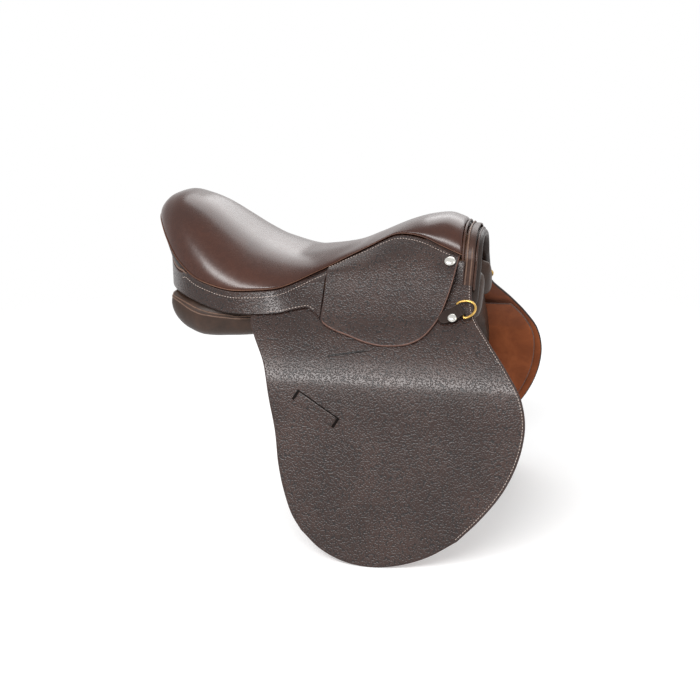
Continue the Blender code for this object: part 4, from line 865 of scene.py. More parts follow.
def grained_leather(name, crease=None):
    """Pebbled hide: rounded cells parted by fine valleys, painted darker there as shade; the tops keep the
    hide's slowly varying tone.

    The cells are a smooth Voronoi pattern whose place is shifted a little by noise. A crease is a
    sunken line, painted darker still as shade.
    """
    made, shader = shader_of(name, GRAINED_LEATHER, GRAIN_ROUGHNESS)
    shader.inputs["Specular IOR Level"].default_value = 0.38
    place = object_place(made)
    warp = node(made, "ShaderNodeTexNoise", in_Scale=160, in_Detail=2)
    join(made, (place, warp.inputs["Vector"]))
    shifted = node(made, "ShaderNodeVectorMath", operation="MULTIPLY_ADD")
    shifted.inputs[1].default_value = (0.0022, 0.0022, 0.0022)
    join(made, (warp.outputs["Color"], shifted.inputs[0]), (place, shifted.inputs[2]))
    cells = node(made, "ShaderNodeTexVoronoi", feature="SMOOTH_F1", in_Scale=PEBBLE_SCALE)
    cells.inputs["Smoothness"].default_value = 0.35
    join(made, (shifted.outputs["Vector"], cells.inputs["Vector"]))
    hill = ranged(made, cells.outputs["Distance"], 0.80, 0.42)
    broad = noise(made, place, 13, 4, 0.6, 0.4)
    fine = noise(made, place, 1700, 3, 0.65)
    body_tone = two_tone(made, ranged(made, broad, 0.35, 0.7), GRAINED_LEATHER, GRAINED_PALE)
    # The valleys between the pebbles are painted towards near-black as shade.
    valley_shade = node(made, "ShaderNodeMix", data_type="RGBA", in_6=srgb(*GRAIN_VALLEY_SHADE))
    join(made, (ranged(made, hill, 0.05, 0.75), valley_shade.inputs[0]), (body_tone, valley_shade.inputs[7]))
    colour = valley_shade.outputs[2]
    layers = [(hill, 0.9, PEBBLE_DEPTH), (fine, 0.15, 0.00006)]
    if crease:
        line = crease_along(made, place, crease)
        # Along the crease the colour is painted near-black as shade; the bump below sinks it.
        crease_shade = node(made, "ShaderNodeMix", data_type="RGBA", in_7=srgb(*[c * 0.45 for c in GRAIN_VALLEY_SHADE]))
        join(made, (line, crease_shade.inputs[0]), (colour, crease_shade.inputs[6]))
        colour = crease_shade.outputs[2]
        layers.append((ranged(made, line, 1.0, 0.0), 1.0, 0.0012))
    join(made, (colour, shader.inputs["Base Color"]))
    roughened(made, shader, hill, 0.0, 1.0, GRAIN_ROUGHNESS * 1.3, GRAIN_ROUGHNESS * 0.9)
    bumped(made, shader, *layers)
    return made


def as_side(points):
    """(height, place) points as (place, distance down the side)."""
    height, x = np.array(points, float).T
    return np.stack([x, down(height)], axis=1)


GRAIN_FINISH = grained_leather("grained_leather")
FLESH_FINISH = flesh_side("flesh_side", FLESH_DARK, FLESH_PALE)
sweat_edges = (
    through(as_side(((-0.005, -0.069), (-0.005, 0.232))), 60),
    through(as_side(SWEAT_FRONT), 110),
    through(as_side(SWEAT_FOOT), 60),
    through(as_side(SWEAT_BACK), 110),
)
pocket_edges = square_edges(*POCKET_SPAN, *[float(down(height)) for height in POCKET_HEIGHTS], 24, 40)
for side, mirror in SIDES:
    points, faces, which = sheet(on_side, sweat_edges, SWEAT_LIFT - SWEAT_THICKNESS, SWEAT_LIFT)
    finishes = [GRAIN_FINISH, FLESH_FINISH, EDGE_FINISH]
    sweat = piece(f"sweat_flap_leather_{side}", points * mirror, faces, finishes, which)
    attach(sweat, "saddle")
    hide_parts(f"sweat_flap_{side}")
    points, faces, which = sheet(on_side, pocket_edges, *POCKET_LIFTS)
    finishes = [GRAIN_FINISH, FLESH_FINISH, DYED_EDGE]
    pocket = piece(f"point_pocket_leather_{side}", points * mirror, faces, finishes, which)
    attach(pocket, "saddle")
    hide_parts(f"point_pocket_{side}")


# Flaps. One large sheet of pebbled hide on each side, grain outwards, nailed to the tree at the
# top and free below, with a line of stitches along its front edge.
FLAP_HINGE_HEIGHT = -0.018
FLAP_BEND = 0.014
FLAP_FRONT = (
    (0.070, 0.195), (0.052, 0.197), (0.031, 0.204), (0.014, 0.218), (-0.010, 0.239), (-0.030, 0.255),
    (-0.065, 0.276), (-0.096, 0.282), (-0.122, 0.280), (-0.152, 0.272), (-0.182, 0.258),
    (-0.221, 0.229), (-0.253, 0.198),
)
FLAP_FOOT = (
    (-0.253, -0.018), (-0.276, 0.010), (-0.291, 0.046), (-0.2953, 0.080), (-0.292, 0.112),
    (-0.277, 0.158), (-0.253, 0.198),
)
FLAP_BACK = (
    (0.043, -0.111), (0.017, -0.114), (0.000, -0.104), (-0.032, -0.085), (-0.081, -0.072),
    (-0.121, -0.062), (-0.170, -0.054), (-0.205, -0.044), (-0.235, -0.031), (-0.253, -0.018),
)
FLAP_TOP = ((0.043, -0.111), (0.043, 0.060), (0.046, 0.108), (0.062, 0.124), (0.070, 0.140), (0.070, 0.195))
THREAD = (205, 192, 184)
SOILED_THREAD = (170, 150, 138)
STITCH_PITCH = 0.0042
STITCH_LENGTH = 0.0031
THREAD_RADIUS = 0.00042
FLAP_STITCH_INSET = 0.0035
# Ends of a crease across the flap: sunk by a bump, and painted darker as shade along it.
FLAP_CREASE = ((0.0015, -0.0212), (0.0704, -0.0106))


def thread():
    """Waxed linen thread, pale and slightly soiled."""
    made, shader = shader_of("linen_thread", THREAD, 0.65)
    place = object_place(made)
    soil = noise(made, place, 160, 3)
    coloured(made, shader, ranged(made, soil, 0.3, 0.75), SOILED_THREAD, THREAD)
    bumped(made, shader, (noise(made, place, 2600, 2), 0.5, 0.0001))
    return made


THREAD_FINISH = thread()


def stitches(path, out):
    """Points and faces of a row of stitches: short cords that rise from the leather and dip back.

    Along each stitch, from -1 to 1, its middle stands at the radius times (0.9 less 1.6 times the
    square), and its thickness shrinks as the root of one less 0.85 times the square.
    """
    run = run_along(path)
    count = max(int(run[-1] / STITCH_PITCH), 1)
    spots = (np.arange(count) + 0.5) * run[-1] / count
    reach = STITCH_LENGTH * 0.5
    centre, normal = sampled(path, run, spots), unit(sampled(out, run, spots))
    way = unit(sampled(path, run, spots + reach) - sampled(path, run, spots - reach))
    across = unit(np.cross(way, normal))
    along = np.array([-1.0, -0.6, 0.0, 0.6, 1.0])
    angle = np.arange(6) * math.pi / 3
    thick = THREAD_RADIUS * np.sqrt(1 - 0.85 * along**2)
    rise = THREAD_RADIUS * (0.9 - 1.6 * along**2)
    points = (
        centre[:, None, None]
        + way[:, None, None] * (along * STITCH_LENGTH / 2)[None, :, None, None]
        + normal[:, None, None] * (rise[:, None] + thick[:, None] * np.sin(angle))[None, :, :, None]
        + across[:, None, None] * (thick[:, None] * np.cos(angle))[None, :, :, None]
    )
    index = np.arange(30).reshape(5, 6)
    offset = 30 * np.arange(count)[:, None, None]
    quads = (np.array(tube(index)) + offset).reshape(-1, 4).tolist()
    ends = (np.stack([index[0, ::-1], index[-1]]) + offset).reshape(-1, 6).tolist()
    return points.reshape(-1, 3), quads + ends


def stitched(name, place, line, lift, mirror):
    """A row of stitches on a sheet, along a line in the sheet's own measures."""
    x, distance = resampled(line, max(len(line), 200)).T
    path = place(x, distance, np.full(len(x), lift)) * mirror
    above = place(x, distance, np.full(len(x), lift + 0.001)) * mirror
    return piece(name, *stitches(path, unit(above - path)), [THREAD_FINISH])


def inset_line(line, inset):
    """A line moved square to its own way by an inset."""
    way = unit(np.gradient(line, axis=0))
    return line + np.stack([-way[:, 1], way[:, 0]], axis=1) * inset


flap_edges = (
    through(as_side(FLAP_TOP), 84),
    through(as_side(FLAP_FRONT), 150),
    through(as_side(FLAP_FOOT), 84),
    through(as_side(FLAP_BACK), 150),
)
CREASE_SHADE_FINISH = grained_leather("creased_leather_painted_shade", FLAP_CREASE)
flap_stitch_line = inset_line(through(as_side(FLAP_FRONT), 260), FLAP_STITCH_INSET)
hinge_distance = float(down(FLAP_HINGE_HEIGHT))
for side, mirror in SIDES:
    points, faces, which = sheet(on_side, flap_edges, -FLAP_THICKNESS, 0.0, steps=6)
    finishes = [CREASE_SHADE_FINISH, FLESH_FINISH, DYED_EDGE]
    flap = piece(f"flap_leather_{side}", points * mirror, faces, finishes, which)
    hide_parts(f"flap_top_{side}", f"flap_{side}")
    row = stitched(f"flap_stitches_{side}", on_side, flap_stitch_line, 0.0, mirror)
    bend = on_side(0, hinge_distance + FLAP_BEND * np.array([-1, 1]), np.full(2, -0.002)) * mirror
    for part in (flap, row):
        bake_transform(part)


# Strap keepers. A short strip of pebbled hide is let into two slots in each flap and holds the end
# of the stirrup leather. A thin near-black sheet under it is painted shade: the slots' dark insides
# and the shade round the strip, reaching further above it than below.
KEEPER_ENDS = ((-0.032, -0.0735), (0.0215, -0.1055))
KEEPER_WIDTH = 0.014
KEEPER_THICKNESS = 0.0018
SLOT_SHADE_REACH = 0.0042
SLOT_SHADE_ABOVE, SLOT_SHADE_BELOW = 0.0016, 0.0002
SLOT_SHADE_LIFTS = (-0.0006, 0.0004)
# Near-black and almost without gloss: painted shade in the slots and round the keeper strip.
SLOT_SHADE_FINISH = cut_edge("slot_painted_shade", (9, 6, 5), (17, 12, 10), 0.05)


def strip_section(half_wide, half_thick, wide_power, thick_power, sides):
    """Section of a strip: the turn's cosine and sine, each raised to a power that squares it off."""
    turn = np.linspace(0, 2 * math.pi, sides + 1)[:-1]
    wide, thick = np.cos(turn), np.sin(turn)
    wide = np.sign(wide) * np.abs(wide) ** wide_power * half_wide
    return np.stack([wide, np.sign(thick) * np.abs(thick) ** thick_power * half_thick], axis=1)


def slanted_edges(start, end, half_above, half_below, count=40):
    """Edges of a strip between two points in (x, distance), reaching a half width to each side."""
    way = unit(end - start)
    down_way = np.array([-way[1], way[0]])
    top = np.linspace(start - down_way * half_above, end - down_way * half_above, count)
    foot = np.linspace(start + down_way * half_below, end + down_way * half_below, count)
    return top, np.linspace(top[-1], foot[-1], 12), foot, np.linspace(top[0], foot[0], 12)


start, end = as_side([(height, x) for x, height in KEEPER_ENDS])
length = np.linalg.norm(end - start)
way = unit(end - start)
reach = np.concatenate([np.zeros(4), np.linspace(0.0015, length - 0.0015, 40), np.full(4, length)])
bowed = 0.0005 + 0.0004 * np.sin(np.linspace(0, math.pi, 40))
rise = np.concatenate([np.linspace(-0.0035, 0.0, 4), bowed, np.linspace(0.0, -0.0035, 4)])
spine = start + way * reach[:, None]
beside = spine + np.array([-way[1], way[0]]) * 0.001
path = on_side(spine[:, 0], spine[:, 1], rise)
across = unit(on_side(beside[:, 0], beside[:, 1], rise) - path)
up = np.cross(across, unit(np.gradient(path, axis=0)))
section = strip_section(KEEPER_WIDTH / 2, KEEPER_THICKNESS / 2, 0.25, 0.6, 28)
strip_points, strip_faces = swept(path, up, section)
above, below = KEEPER_WIDTH / 2 + SLOT_SHADE_ABOVE, KEEPER_WIDTH / 2 + SLOT_SHADE_BELOW
slot_shade_edges = slanted_edges(start - way * SLOT_SHADE_REACH, end + way * SLOT_SHADE_REACH, above, below)
slot_shade_points, slot_shade_faces, which = sheet(on_side, slot_shade_edges, *SLOT_SHADE_LIFTS)
for side, mirror in SIDES:
    keeper = piece(f"keeper_leather_{side}", strip_points * mirror, strip_faces, [GRAIN_FINISH])
    slot_shade = piece(f"keeper_slot_shades_{side}", slot_shade_points * mirror, slot_shade_faces, [SLOT_SHADE_FINISH] * 3, which)
    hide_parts(f"strap_keeper_{side}")
    for part in (keeper, slot_shade):
        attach(part, f"flap_{side}")


# Seat. Smooth brown hide stretched over foam and webbing, rolled over the cantle behind and down
# to the waist at each side, where it is sewn in with a piping. A near-black cord fills the gap under
# its front end; its dark colour is painted shade.
SEAT_LEATHER = (49, 22, 12)
SEAT_RED = (62, 30, 17)
SEAT_PRESSURE = 4.0
SEAT_CAP = 0.0022
PIPING_RADIUS = 0.0010
SHADE_CORD_RADIUS = 0.0036
CANTLE_REACH = 0.288
WIDEST_PLACE, WIDEST_HALF = -0.136, 0.145
POMMEL_REACH = 0.176
HALF_WIDTHS = (
    (WIDEST_PLACE, WIDEST_HALF), (-0.086, 0.136), (-0.027, 0.094), (0.018, 0.069), (0.075, 0.056),
    (0.100, 0.059), (0.131, 0.068), (POMMEL_REACH, 0.072),
)
SEAM_STATIONS = (
    (-0.288, 0.150), (-0.281, 0.147), (-0.254, 0.116), (-0.234, 0.094), (-0.195, 0.070),
    (-0.136, 0.059), (-0.086, 0.0615), (-0.027, 0.082), (0.014, 0.1018), (0.045, 0.117),
    (0.063, 0.1264), (0.079, 0.133), (0.090, 0.1345), (0.103, 0.1339), (0.122, 0.1308), (0.146, 0.1207),
    (0.168, 0.1117), (0.176, 0.1085), (0.198, 0.0995),
)
CROWN_STATIONS = (
    (-0.288, 0.150), (-0.280, 0.1645), (-0.265, 0.1765), (-0.249, 0.180), (-0.225, 0.1735),
    (-0.202, 0.163), (-0.170, 0.1425), (-0.139, 0.1225), (-0.110, 0.108), (-0.059, 0.0957),
    (-0.027, 0.0993), (0.018, 0.110), (0.045, 0.1205), (0.075, 0.1345), (0.100, 0.1453),
    (0.120, 0.1513), (0.150, 0.1556), (0.165, 0.1516), (0.176, 0.1468), (0.198, 0.134),
)
seam = smooth(SEAM_STATIONS)
crown = smooth(CROWN_STATIONS)
waist = smooth(HALF_WIDTHS)
seam_clearance = smooth(((-0.250, 0.0064), (-0.195, 0.0042), (0.200, 0.0042)))


def eased(share):
    """A smooth step from 0 to 1: three times the square less twice the cube."""
    share = np.clip(share, 0, 1)
    return share**2 * (3 - 2 * share)


def half_width(x):
    """Half-width of the seat seam in plan: an ellipse behind its widest place, then a waist."""
    share = np.clip((WIDEST_PLACE - np.asarray(x, float)) / (CANTLE_REACH + WIDEST_PLACE), 0, 1)
    return np.where(x < WIDEST_PLACE, WIDEST_HALF * np.sqrt(1 - share**2), waist(x))


def under_seam(x):
    """Height of what is sewn under the seat seam."""
    return seam(x) - seam_clearance(x)


def seat_skin(x, across, inset, drop, rim_drop):
    """A layer of the seat: across runs from -1 to 1 between its edges.

    Its height is the rim's, plus the crown's rise times (1 less the cube of across) to the power 0.6.
    A layer below the top is drawn in from the cantle's edge and from both sides by an inset.
    """
    x, across = np.meshgrid(x, across, indexing="ij")
    wide = half_width(x)
    place = x + inset * eased((-0.262 - x) / 0.026)
    half = wide - inset * np.clip(wide / 0.03, 0, 1)
    rim = seam(x) - rim_drop
    height = rim + (crown(x) - drop - rim) * (1 - np.abs(across) ** 3) ** 0.6
    return np.stack([place, across * half, height], axis=2)


def behind(turn):
    """Places along the seat's rear ellipse, from the cantle at 0 to its widest place at 90 degrees."""
    return WIDEST_PLACE - (CANTLE_REACH + WIDEST_PLACE) * np.cos(np.radians(turn))


SEAT_FINISH = smooth_leather("seat_leather", SEAT_LEATHER, SEAT_RED, 0.27, 0.42, pore=0.03, crease=0.02)
DARK_FINISH = smooth_leather("dark_leather", (32, 23, 20), (46, 34, 29), 0.48, 0.16)
PIPING_FINISH = smooth_leather("piping_leather", (66, 40, 29), (96, 64, 48), 0.45, 0.28)
places = np.concatenate([behind(np.linspace(3, 90, 44)), np.linspace(WIDEST_PLACE, POMMEL_REACH, 62)[1:]])
columns = np.sin(np.linspace(-math.pi / 2, math.pi / 2, 53))
layers = [
    seat_skin(places, columns, 0, 0, 0),
    seat_skin(places, columns, 0.0004, 0.007, 0.0022),
    seat_skin(places, columns, 0.0030, 0.0145, 0.0040),
]
count = layers[0].shape[0] * layers[0].shape[1]
index = np.arange(count).reshape(layers[0].shape[:2])
border = border_of(index)
top, middle, under = (layer.reshape(-1, 3) for layer in layers)
points = np.concatenate([top, under, middle[border]])
cells = cells_of(index)
rings = [border, 2 * count + np.arange(len(border)), border + count]
faces = np.concatenate([cells, cells[:, ::-1] + count, *wall(rings)]).tolist()
seat = piece("seat_leather", points, faces, [SEAT_FINISH])
inflated(seat, SEAT_PRESSURE, SEAT_CAP, pinned=np.concatenate([border, np.arange(count, len(points))]))
subdivided(seat)
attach(seat, "saddle")
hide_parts("seat_cover", "seat_foam")

seam_x = np.concatenate([[-0.2875], places[places > -0.2865]])
seam_path = np.stack([seam_x, half_width(seam_x) + 0.0004, seam(seam_x) - 0.0016], axis=1)
shade_cord_x = np.linspace(0.125, 0.1745, 40)
shade_cord_path = np.stack([shade_cord_x, half_width(shade_cord_x) - 0.0050, seam(shade_cord_x) - 0.0050], axis=1)
for side, mirror in SIDES:
    points, faces = swept(resampled(seam_path * mirror, 260), (0, 0, 1), circle(PIPING_RADIUS, 10))
    piping = piece(f"seat_piping_{side}", points, faces, [PIPING_FINISH])
    # A cord that closes the gap under the seat's front end, near-black as painted shade.
    points, faces = swept(shade_cord_path * mirror, (0, 0, 1), circle(SHADE_CORD_RADIUS, 14))
    shade_cord = piece(f"seat_shade_cord_{side}", points, faces, [DARK_FINISH])
    for part in (piping, shade_cord):
        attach(part, "saddle")


# Skirts. A piece of pebbled hide on each side covers the stirrup bar. It is sewn along the seat,
# nailed at the head, and its free lower part bends up from the flap.
SKIRT_THICKNESS = 0.0032
SKIRT_STAND = 0.0072
SKIRT_HINGE_HEIGHT = 0.074
SKIRT_SETTLED_HEIGHT = 0.018
SKIRT_BACK_PLACE = -0.0125
HINGE_LIFT = 0.0091
SEAM_STEP_OUT, SEAM_STEP_DOWN = 0.0005, 0.001
SEAM_TO_STITCHES = 0.0085
# Behind this place the skirt's cut edge faces the band across a narrow gap. It takes the dark dyed edge
# there, which also stands in for the shade in that gap.
GAP_SHADE_EDGE_BEHIND = -0.009
# (place, distance) of the front edge above the bending line, then (height, place) below it
SKIRT_HEAD = ((0.1725, -0.020), (0.170, 0.0))
SKIRT_FRONT = (
    (0.051, 0.164), (0.021, 0.150), (0.003, 0.132), (-0.004, 0.115), (-0.0065, 0.098),
)
SKIRT_FOOT = (
    (0.0205, -0.0125), (0.0163, -0.0077), (0.0100, 0.0061), (0.0034, 0.030), (-0.005, 0.063),
    (-0.007, 0.080), (-0.0065, 0.098),
)
SKIRT_BACK = ((0.074, -0.0125), (0.058, -0.0125), (0.040, -0.0125), (0.0205, -0.0125))
skirt_start = float(down(SKIRT_HINGE_HEIGHT))
skirt_settled = float(down(SKIRT_SETTLED_HEIGHT))
skirt_hinge = on_side(0, np.array([skirt_start]), HINGE_LIFT)[0, 1:]


def seat_side(x):
    """(half-width, height) where the skirt's top meets the seat seam."""
    return np.stack([half_width(x) + SEAM_STEP_OUT, under_seam(x) - SEAM_STEP_DOWN], axis=-1)


def skirt_middle(x, distance):
    """(half-width, height) of the middle of the skirt, at a distance below its bending line.

    Below the line it stands over the bar and settles on the flap by a smooth step. Above it an arc
    runs up to the seat seam, level with the face at the line.
    """
    below = np.maximum(distance, 0)
    stand = SKIRT_STAND * (1 - eased(below / (skirt_settled - skirt_start)))
    lower = on_side(x, skirt_start + below, 0.0003 + stand + SKIRT_THICKNESS / 2)[..., 1:]
    top = seat_side(x)
    chord = skirt_hinge - top
    span = np.linalg.norm(chord, axis=-1, keepdims=True)
    direction = chord / span
    square = np.stack([-direction[..., 1], direction[..., 0]], axis=-1)
    t = np.clip(1 + distance / span[..., 0], 0, 1)[..., None]
    upper = cubic(t, span, top, unit(direction + 0.28 * square), skirt_hinge, np.array([0.52, -0.854]))
    return np.where((distance < 0)[..., None], upper, lower)


def on_skirt(x, distance, lift):
    """A point of the skirt: lifted square to the line that its middle makes down the saddle."""
    x, distance = np.broadcast_arrays(np.asarray(x, float), np.asarray(distance, float))
    step = 0.0008
    way = unit(skirt_middle(x, distance + step) - skirt_middle(x, distance - step))
    middle = skirt_middle(x, distance)
    width = middle[..., 0] - lift * way[..., 1]
    height = middle[..., 1] + lift * way[..., 0]
    return np.stack([x, width, height], axis=-1)


def skirt_span(x):
    """Length of the skirt above its bending line."""
    return np.linalg.norm(skirt_hinge - seat_side(x), axis=-1)


def below_hinge(points):
    """(height, place) points as (place, distance below the skirt's bending line)."""
    return as_side(points) - [0, skirt_start]


top_x = np.linspace(SKIRT_BACK_PLACE, 0.174, 90)
skirt_top = np.stack([top_x, -skirt_span(top_x)], axis=1)
front_points = [skirt_top[-1], *SKIRT_HEAD, *below_hinge(SKIRT_FRONT)]
skirt_edges = (
    skirt_top,
    through(front_points, 100),
    through(below_hinge(SKIRT_FOOT), 90),
    through([skirt_top[0], *below_hinge(SKIRT_BACK)], 100),
)
upper_stitches = skirt_top[:-6] + [0, SEAM_TO_STITCHES]
skirt_half = SKIRT_THICKNESS / 2
skirt_finishes = [GRAIN_FINISH, FLESH_FINISH, EDGE_FINISH, DYED_EDGE]
for side, mirror in SIDES:
    points, faces, which = sheet(on_skirt, skirt_edges, -skirt_half, skirt_half)
    # The skirt's edge beside the band is dark: a dyed edge, and painted shade of the gap between them.
    beside_band = points[np.array(faces)].mean(axis=1)[:, 0] < GAP_SHADE_EDGE_BEHIND
    which = np.where((which == 2) & beside_band, 3, which)
    skirt = piece(f"skirt_leather_{side}", points * mirror, faces, skirt_finishes, which)
    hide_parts(f"skirt_top_{side}", f"skirt_{side}")
    row = stitched(f"skirt_stitches_{side}", on_skirt, upper_stitches, skirt_half, mirror)
    bend = on_skirt(np.zeros(2), np.array([-0.006, 0.010]), np.zeros(2)) * mirror
    for part in (skirt, row):
        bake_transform(part)


# Rear bands and cantle facings. The back of the cantle is faced with dark leather, and below a
# welt a band of pebbled hide runs round it and on to the skirts.
BAND_THICKNESS = 0.003
BAND_FRONT = -0.0132
BAND_TO_WELT = 0.0060
FACING_HALF = 0.00125
FACING_LEAN = 0.33
FACING_FRONT = -0.2185
CANTLE_WELT_RADIUS = 0.0018
CENTRE_GAP = 0.0003
BAND_FOOT = (
    (-0.288, 0.046), (-0.250, 0.0435), (-0.222, 0.040), (-0.190, 0.0315), (-0.151, 0.0238),
    (-0.119, 0.0235), (-0.090, 0.0245), (-0.077, 0.0257), (-0.048, 0.032), (-0.034, 0.0345),
    (-0.023, 0.0296), (-0.014, 0.0215),
)
facing_drop = smooth(((-0.288, 0.050), (-0.262, 0.031), (-0.215, 0.0), (0.1, 0.0)))
band_foot = smooth(BAND_FOOT)
band_joining = smooth(((-0.080, 0.0), (BAND_FRONT, 1.0)))


def plan_edge(x, inset):
    """Point of the seat seam in plan, moved square in from it."""
    step = 0.0005
    y = half_width(x)
    tangent = unit(np.stack([np.full_like(x, step), half_width(x + step) - y], axis=-1))
    return x + inset * tangent[..., 1], y - inset * tangent[..., 0]


rim_places = np.linspace(BAND_FRONT, WIDEST_PLACE, 200)[:-1]
rim_places = np.concatenate([rim_places, behind(np.linspace(90, 0.5, 400))])
rim_run = run_along(np.stack([rim_places, half_width(rim_places)], axis=1))


def band_side(x, height, depth):
    """Point of the flap's side that the band lies on at a height, lifted to meet the skirt in front."""
    distance = down(height)
    stand = SKIRT_STAND * (1 - eased((distance - skirt_start) / (skirt_settled - skirt_start)))
    return on_side(x, distance, BAND_THICKNESS + 0.0005 - depth + stand * band_joining(x))


def band_lines(x, depth):
    """Upper and lower edge of the rear band at a place along the seam, a depth in from its face.

    The lower edge comes out on to the flap by a smooth step between two places.
    """
    drop = facing_drop(x)
    inset = drop * FACING_LEAN
    upper_x, upper_y = plan_edge(x, inset + 0.0006 + depth)
    lower_x, lower_y = plan_edge(x, inset + 0.0012 + depth)
    top = under_seam(x) - drop - BAND_TO_WELT * np.clip(drop / 0.004, 0, 1)
    outwards = np.maximum(band_side(x, band_foot(x), depth)[..., 1] - lower_y, 0)
    lower_y = lower_y + outwards * eased((x + 0.165) / 0.045)
    upper = np.stack([upper_x, np.maximum(upper_y, CENTRE_GAP), top], axis=-1)
    lower = np.stack([lower_x, np.maximum(lower_y, CENTRE_GAP), band_foot(x)], axis=-1)
    return upper, lower


def on_band(run, distance, lift):
    """A point of the rear band: run is the way back along the seam, distance the way down.

    In front it takes the greater of its own straight line and the skirt's rise over the flap, by a
    soft maximum: half the rise, plus half the root of its square and a small square.
    """
    x = np.interp(run, rim_run, rim_places)
    depth = BAND_THICKNESS / 2 - lift
    upper, lower = band_lines(x, depth)
    tall = np.linalg.norm(lower - upper, axis=-1)
    share = (distance / tall)[..., None]
    point = upper + (lower - upper) * share
    rise = band_side(x, point[..., 2], depth)[..., 1] - point[..., 1]
    inner = np.clip(share[..., 0] * (1 - share[..., 0]) * 6, 0, 1) * np.clip((x + 0.080) / 0.020, 0, 1)
    point[..., 1] += (rise + np.sqrt(rise**2 + 0.002**2)) / 2 * inner
    return point


def on_facing(run, distance, lift):
    """A point of the cantle facing, between the seat seam and the welt."""
    x = np.interp(run, rim_run, rim_places)
    drop = np.maximum(facing_drop(x), 0.0005)
    upper = np.stack(plan_edge(x, 0.0006 + FACING_HALF - lift), axis=-1)
    lower = np.stack(plan_edge(x, drop * FACING_LEAN + FACING_HALF - lift), axis=-1)
    plan = upper + (lower - upper) * (distance / drop)[..., None]
    return np.stack([plan[..., 0], np.maximum(plan[..., 1], CENTRE_GAP), under_seam(x) - distance], axis=-1)


def ribbon_edges(run, tall, rows):
    """Edges of a band in (run, distance): level on top, its height at each run below."""
    front, back = (np.linspace((run[i], 0), (run[i], tall[i]), rows) for i in (0, -1))
    return np.stack([run, np.zeros_like(run)], axis=1), back, np.stack([run, tall], axis=1), front


run = np.linspace(0, rim_run[-1], 150)
run_x = np.interp(run, rim_run, rim_places)
upper, lower = band_lines(run_x, BAND_THICKNESS / 2)
tall = np.linalg.norm(lower - upper, axis=1)
band_edges = ribbon_edges(run, tall, 30)
upper_row = np.stack([run, np.full_like(run, SEAM_TO_STITCHES)], axis=1)[run_x > -0.228]
lower_row = np.stack([run, tall - 0.0045], axis=1)[(run_x > -0.092) & (run_x < -0.022)]
facing_run = np.linspace(np.interp(-FACING_FRONT, -rim_places, rim_run), rim_run[-1], 70)
facing_x = np.interp(facing_run, rim_run, rim_places)
facing_tall = np.maximum(facing_drop(facing_x), 0.001)
facing_edges = ribbon_edges(facing_run, facing_tall, 24)
welt_x, welt_y = plan_edge(facing_x, facing_tall * FACING_LEAN + 0.002)
welt_height = under_seam(facing_x) - facing_tall - 0.0023
welt_path = np.stack([welt_x, np.maximum(welt_y, CENTRE_GAP), welt_height], axis=1)
band_half = BAND_THICKNESS / 2
band_finishes = [GRAIN_FINISH, FLESH_FINISH, DYED_EDGE]
for side, mirror in SIDES:
    points, faces, which = sheet(on_band, band_edges, -band_half, band_half)
    band = piece(f"rear_band_leather_{side}", points * mirror, faces, band_finishes, which)
    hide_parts(f"rear_band_{side}")
    points, faces, which = sheet(on_facing, facing_edges, -FACING_HALF, FACING_HALF)
    facing = piece(f"cantle_facing_leather_{side}", points * mirror, faces, [DARK_FINISH] * 3, which)
    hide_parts(f"cantle_facing_{side}")
    points, faces = swept(welt_path * mirror, (0, 0, 1), circle(CANTLE_WELT_RADIUS))
    welt = piece(f"cantle_welt_cord_{side}", points, faces, [WELT_FINISH])
    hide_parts(f"cantle_welt_{side}")
    upper_stitching = stitched(f"band_upper_stitches_{side}", on_band, upper_row, band_half, mirror)
    lower_stitching = stitched(f"band_lower_stitches_{side}", on_band, lower_row, band_half, mirror)
    for part, slot in (
        (band, "grained_leather"),
        (facing, "dark_leather"),
        (welt, "edge_leather"),
        (upper_stitching, "grained_leather"),
        (lower_stitching, "grained_leather"),
    ):
        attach(part, "saddle")


# Head facing. A ribbed strip of leather is drawn round the front of the head between two welts,
# its legs run down to the flaps, and a rounded roll of leather lines the arch behind it. The roll's
# dark colour is partly the lining's own tone and partly painted shade inside the arch.
HEAD_FACING_START, HEAD_FACING_END = 0.1806, 0.1951
HEAD_FACING_HALF = 0.0015
WELT_RADIUS = 0.002
# half-width and height of each arch's feet
HEAD_FOOT, REAR_WELT_FOOT = (0.103, 0.063), (0.090, 0.082)
RIB_FOOT, ROLL_FOOT = (0.1036, 0.064), (0.112, 0.050)
HEAD_WELTS = (("rear", 0.1783, REAR_WELT_FOOT), ("front", 0.1974, HEAD_FOOT))
HEAD_RIBS = (("rear", 0.1845), ("front", 0.1910))
RIB_RADIUS, RIB_DEPTH = 0.0012, 0.0006
ROLL_PLACE, ROLL_DEPTH = 0.1925, 0.0105
ROLL_HALVES = (0.0115, 0.0065)


def eased_line(line, rounds):
    """A line whose inner points go half way to the middle of their neighbours, a few times over."""
    for _ in range(rounds):
        line[1:-1] = line[1:-1] * 0.5 + (line[:-2] + line[2:]) * 0.25
    return line


def head_arch(x, depth, foot_width, foot_height, count=240):
    """An arch round the head: the seat's own section at x with a straight leg at each side, eased."""
    turn = np.linspace(-math.pi / 2, math.pi / 2, 81)
    dome = seat_skin(np.array([x]), np.sin(turn), depth, depth, depth)[0]
    leg = np.linspace(0.04, 1, 25)[:, None]
    foot = np.array([x, foot_width - depth, foot_height])
    right = dome[0] * (1 - leg) + foot * [1, -1, 1] * leg
    left = dome[-1] * (1 - leg) + foot * leg
    return eased_line(resampled(np.concatenate([right[::-1], dome, left]), count), 14)


def arch_out(arch):
    """The way out of an arch at each point, square to it and to x and away from its middle."""
    out = unit(np.cross(unit(np.gradient(arch, axis=0)), np.array([1.0, 0.0, 0.0])))
    return out * np.sign(np.sum(out * (arch - [arch[0, 0], 0, 0.05]), axis=1, keepdims=True))


HEAD_FINISH = smooth_leather("head_leather", (50, 32, 25), (74, 49, 39), 0.42, 0.26)
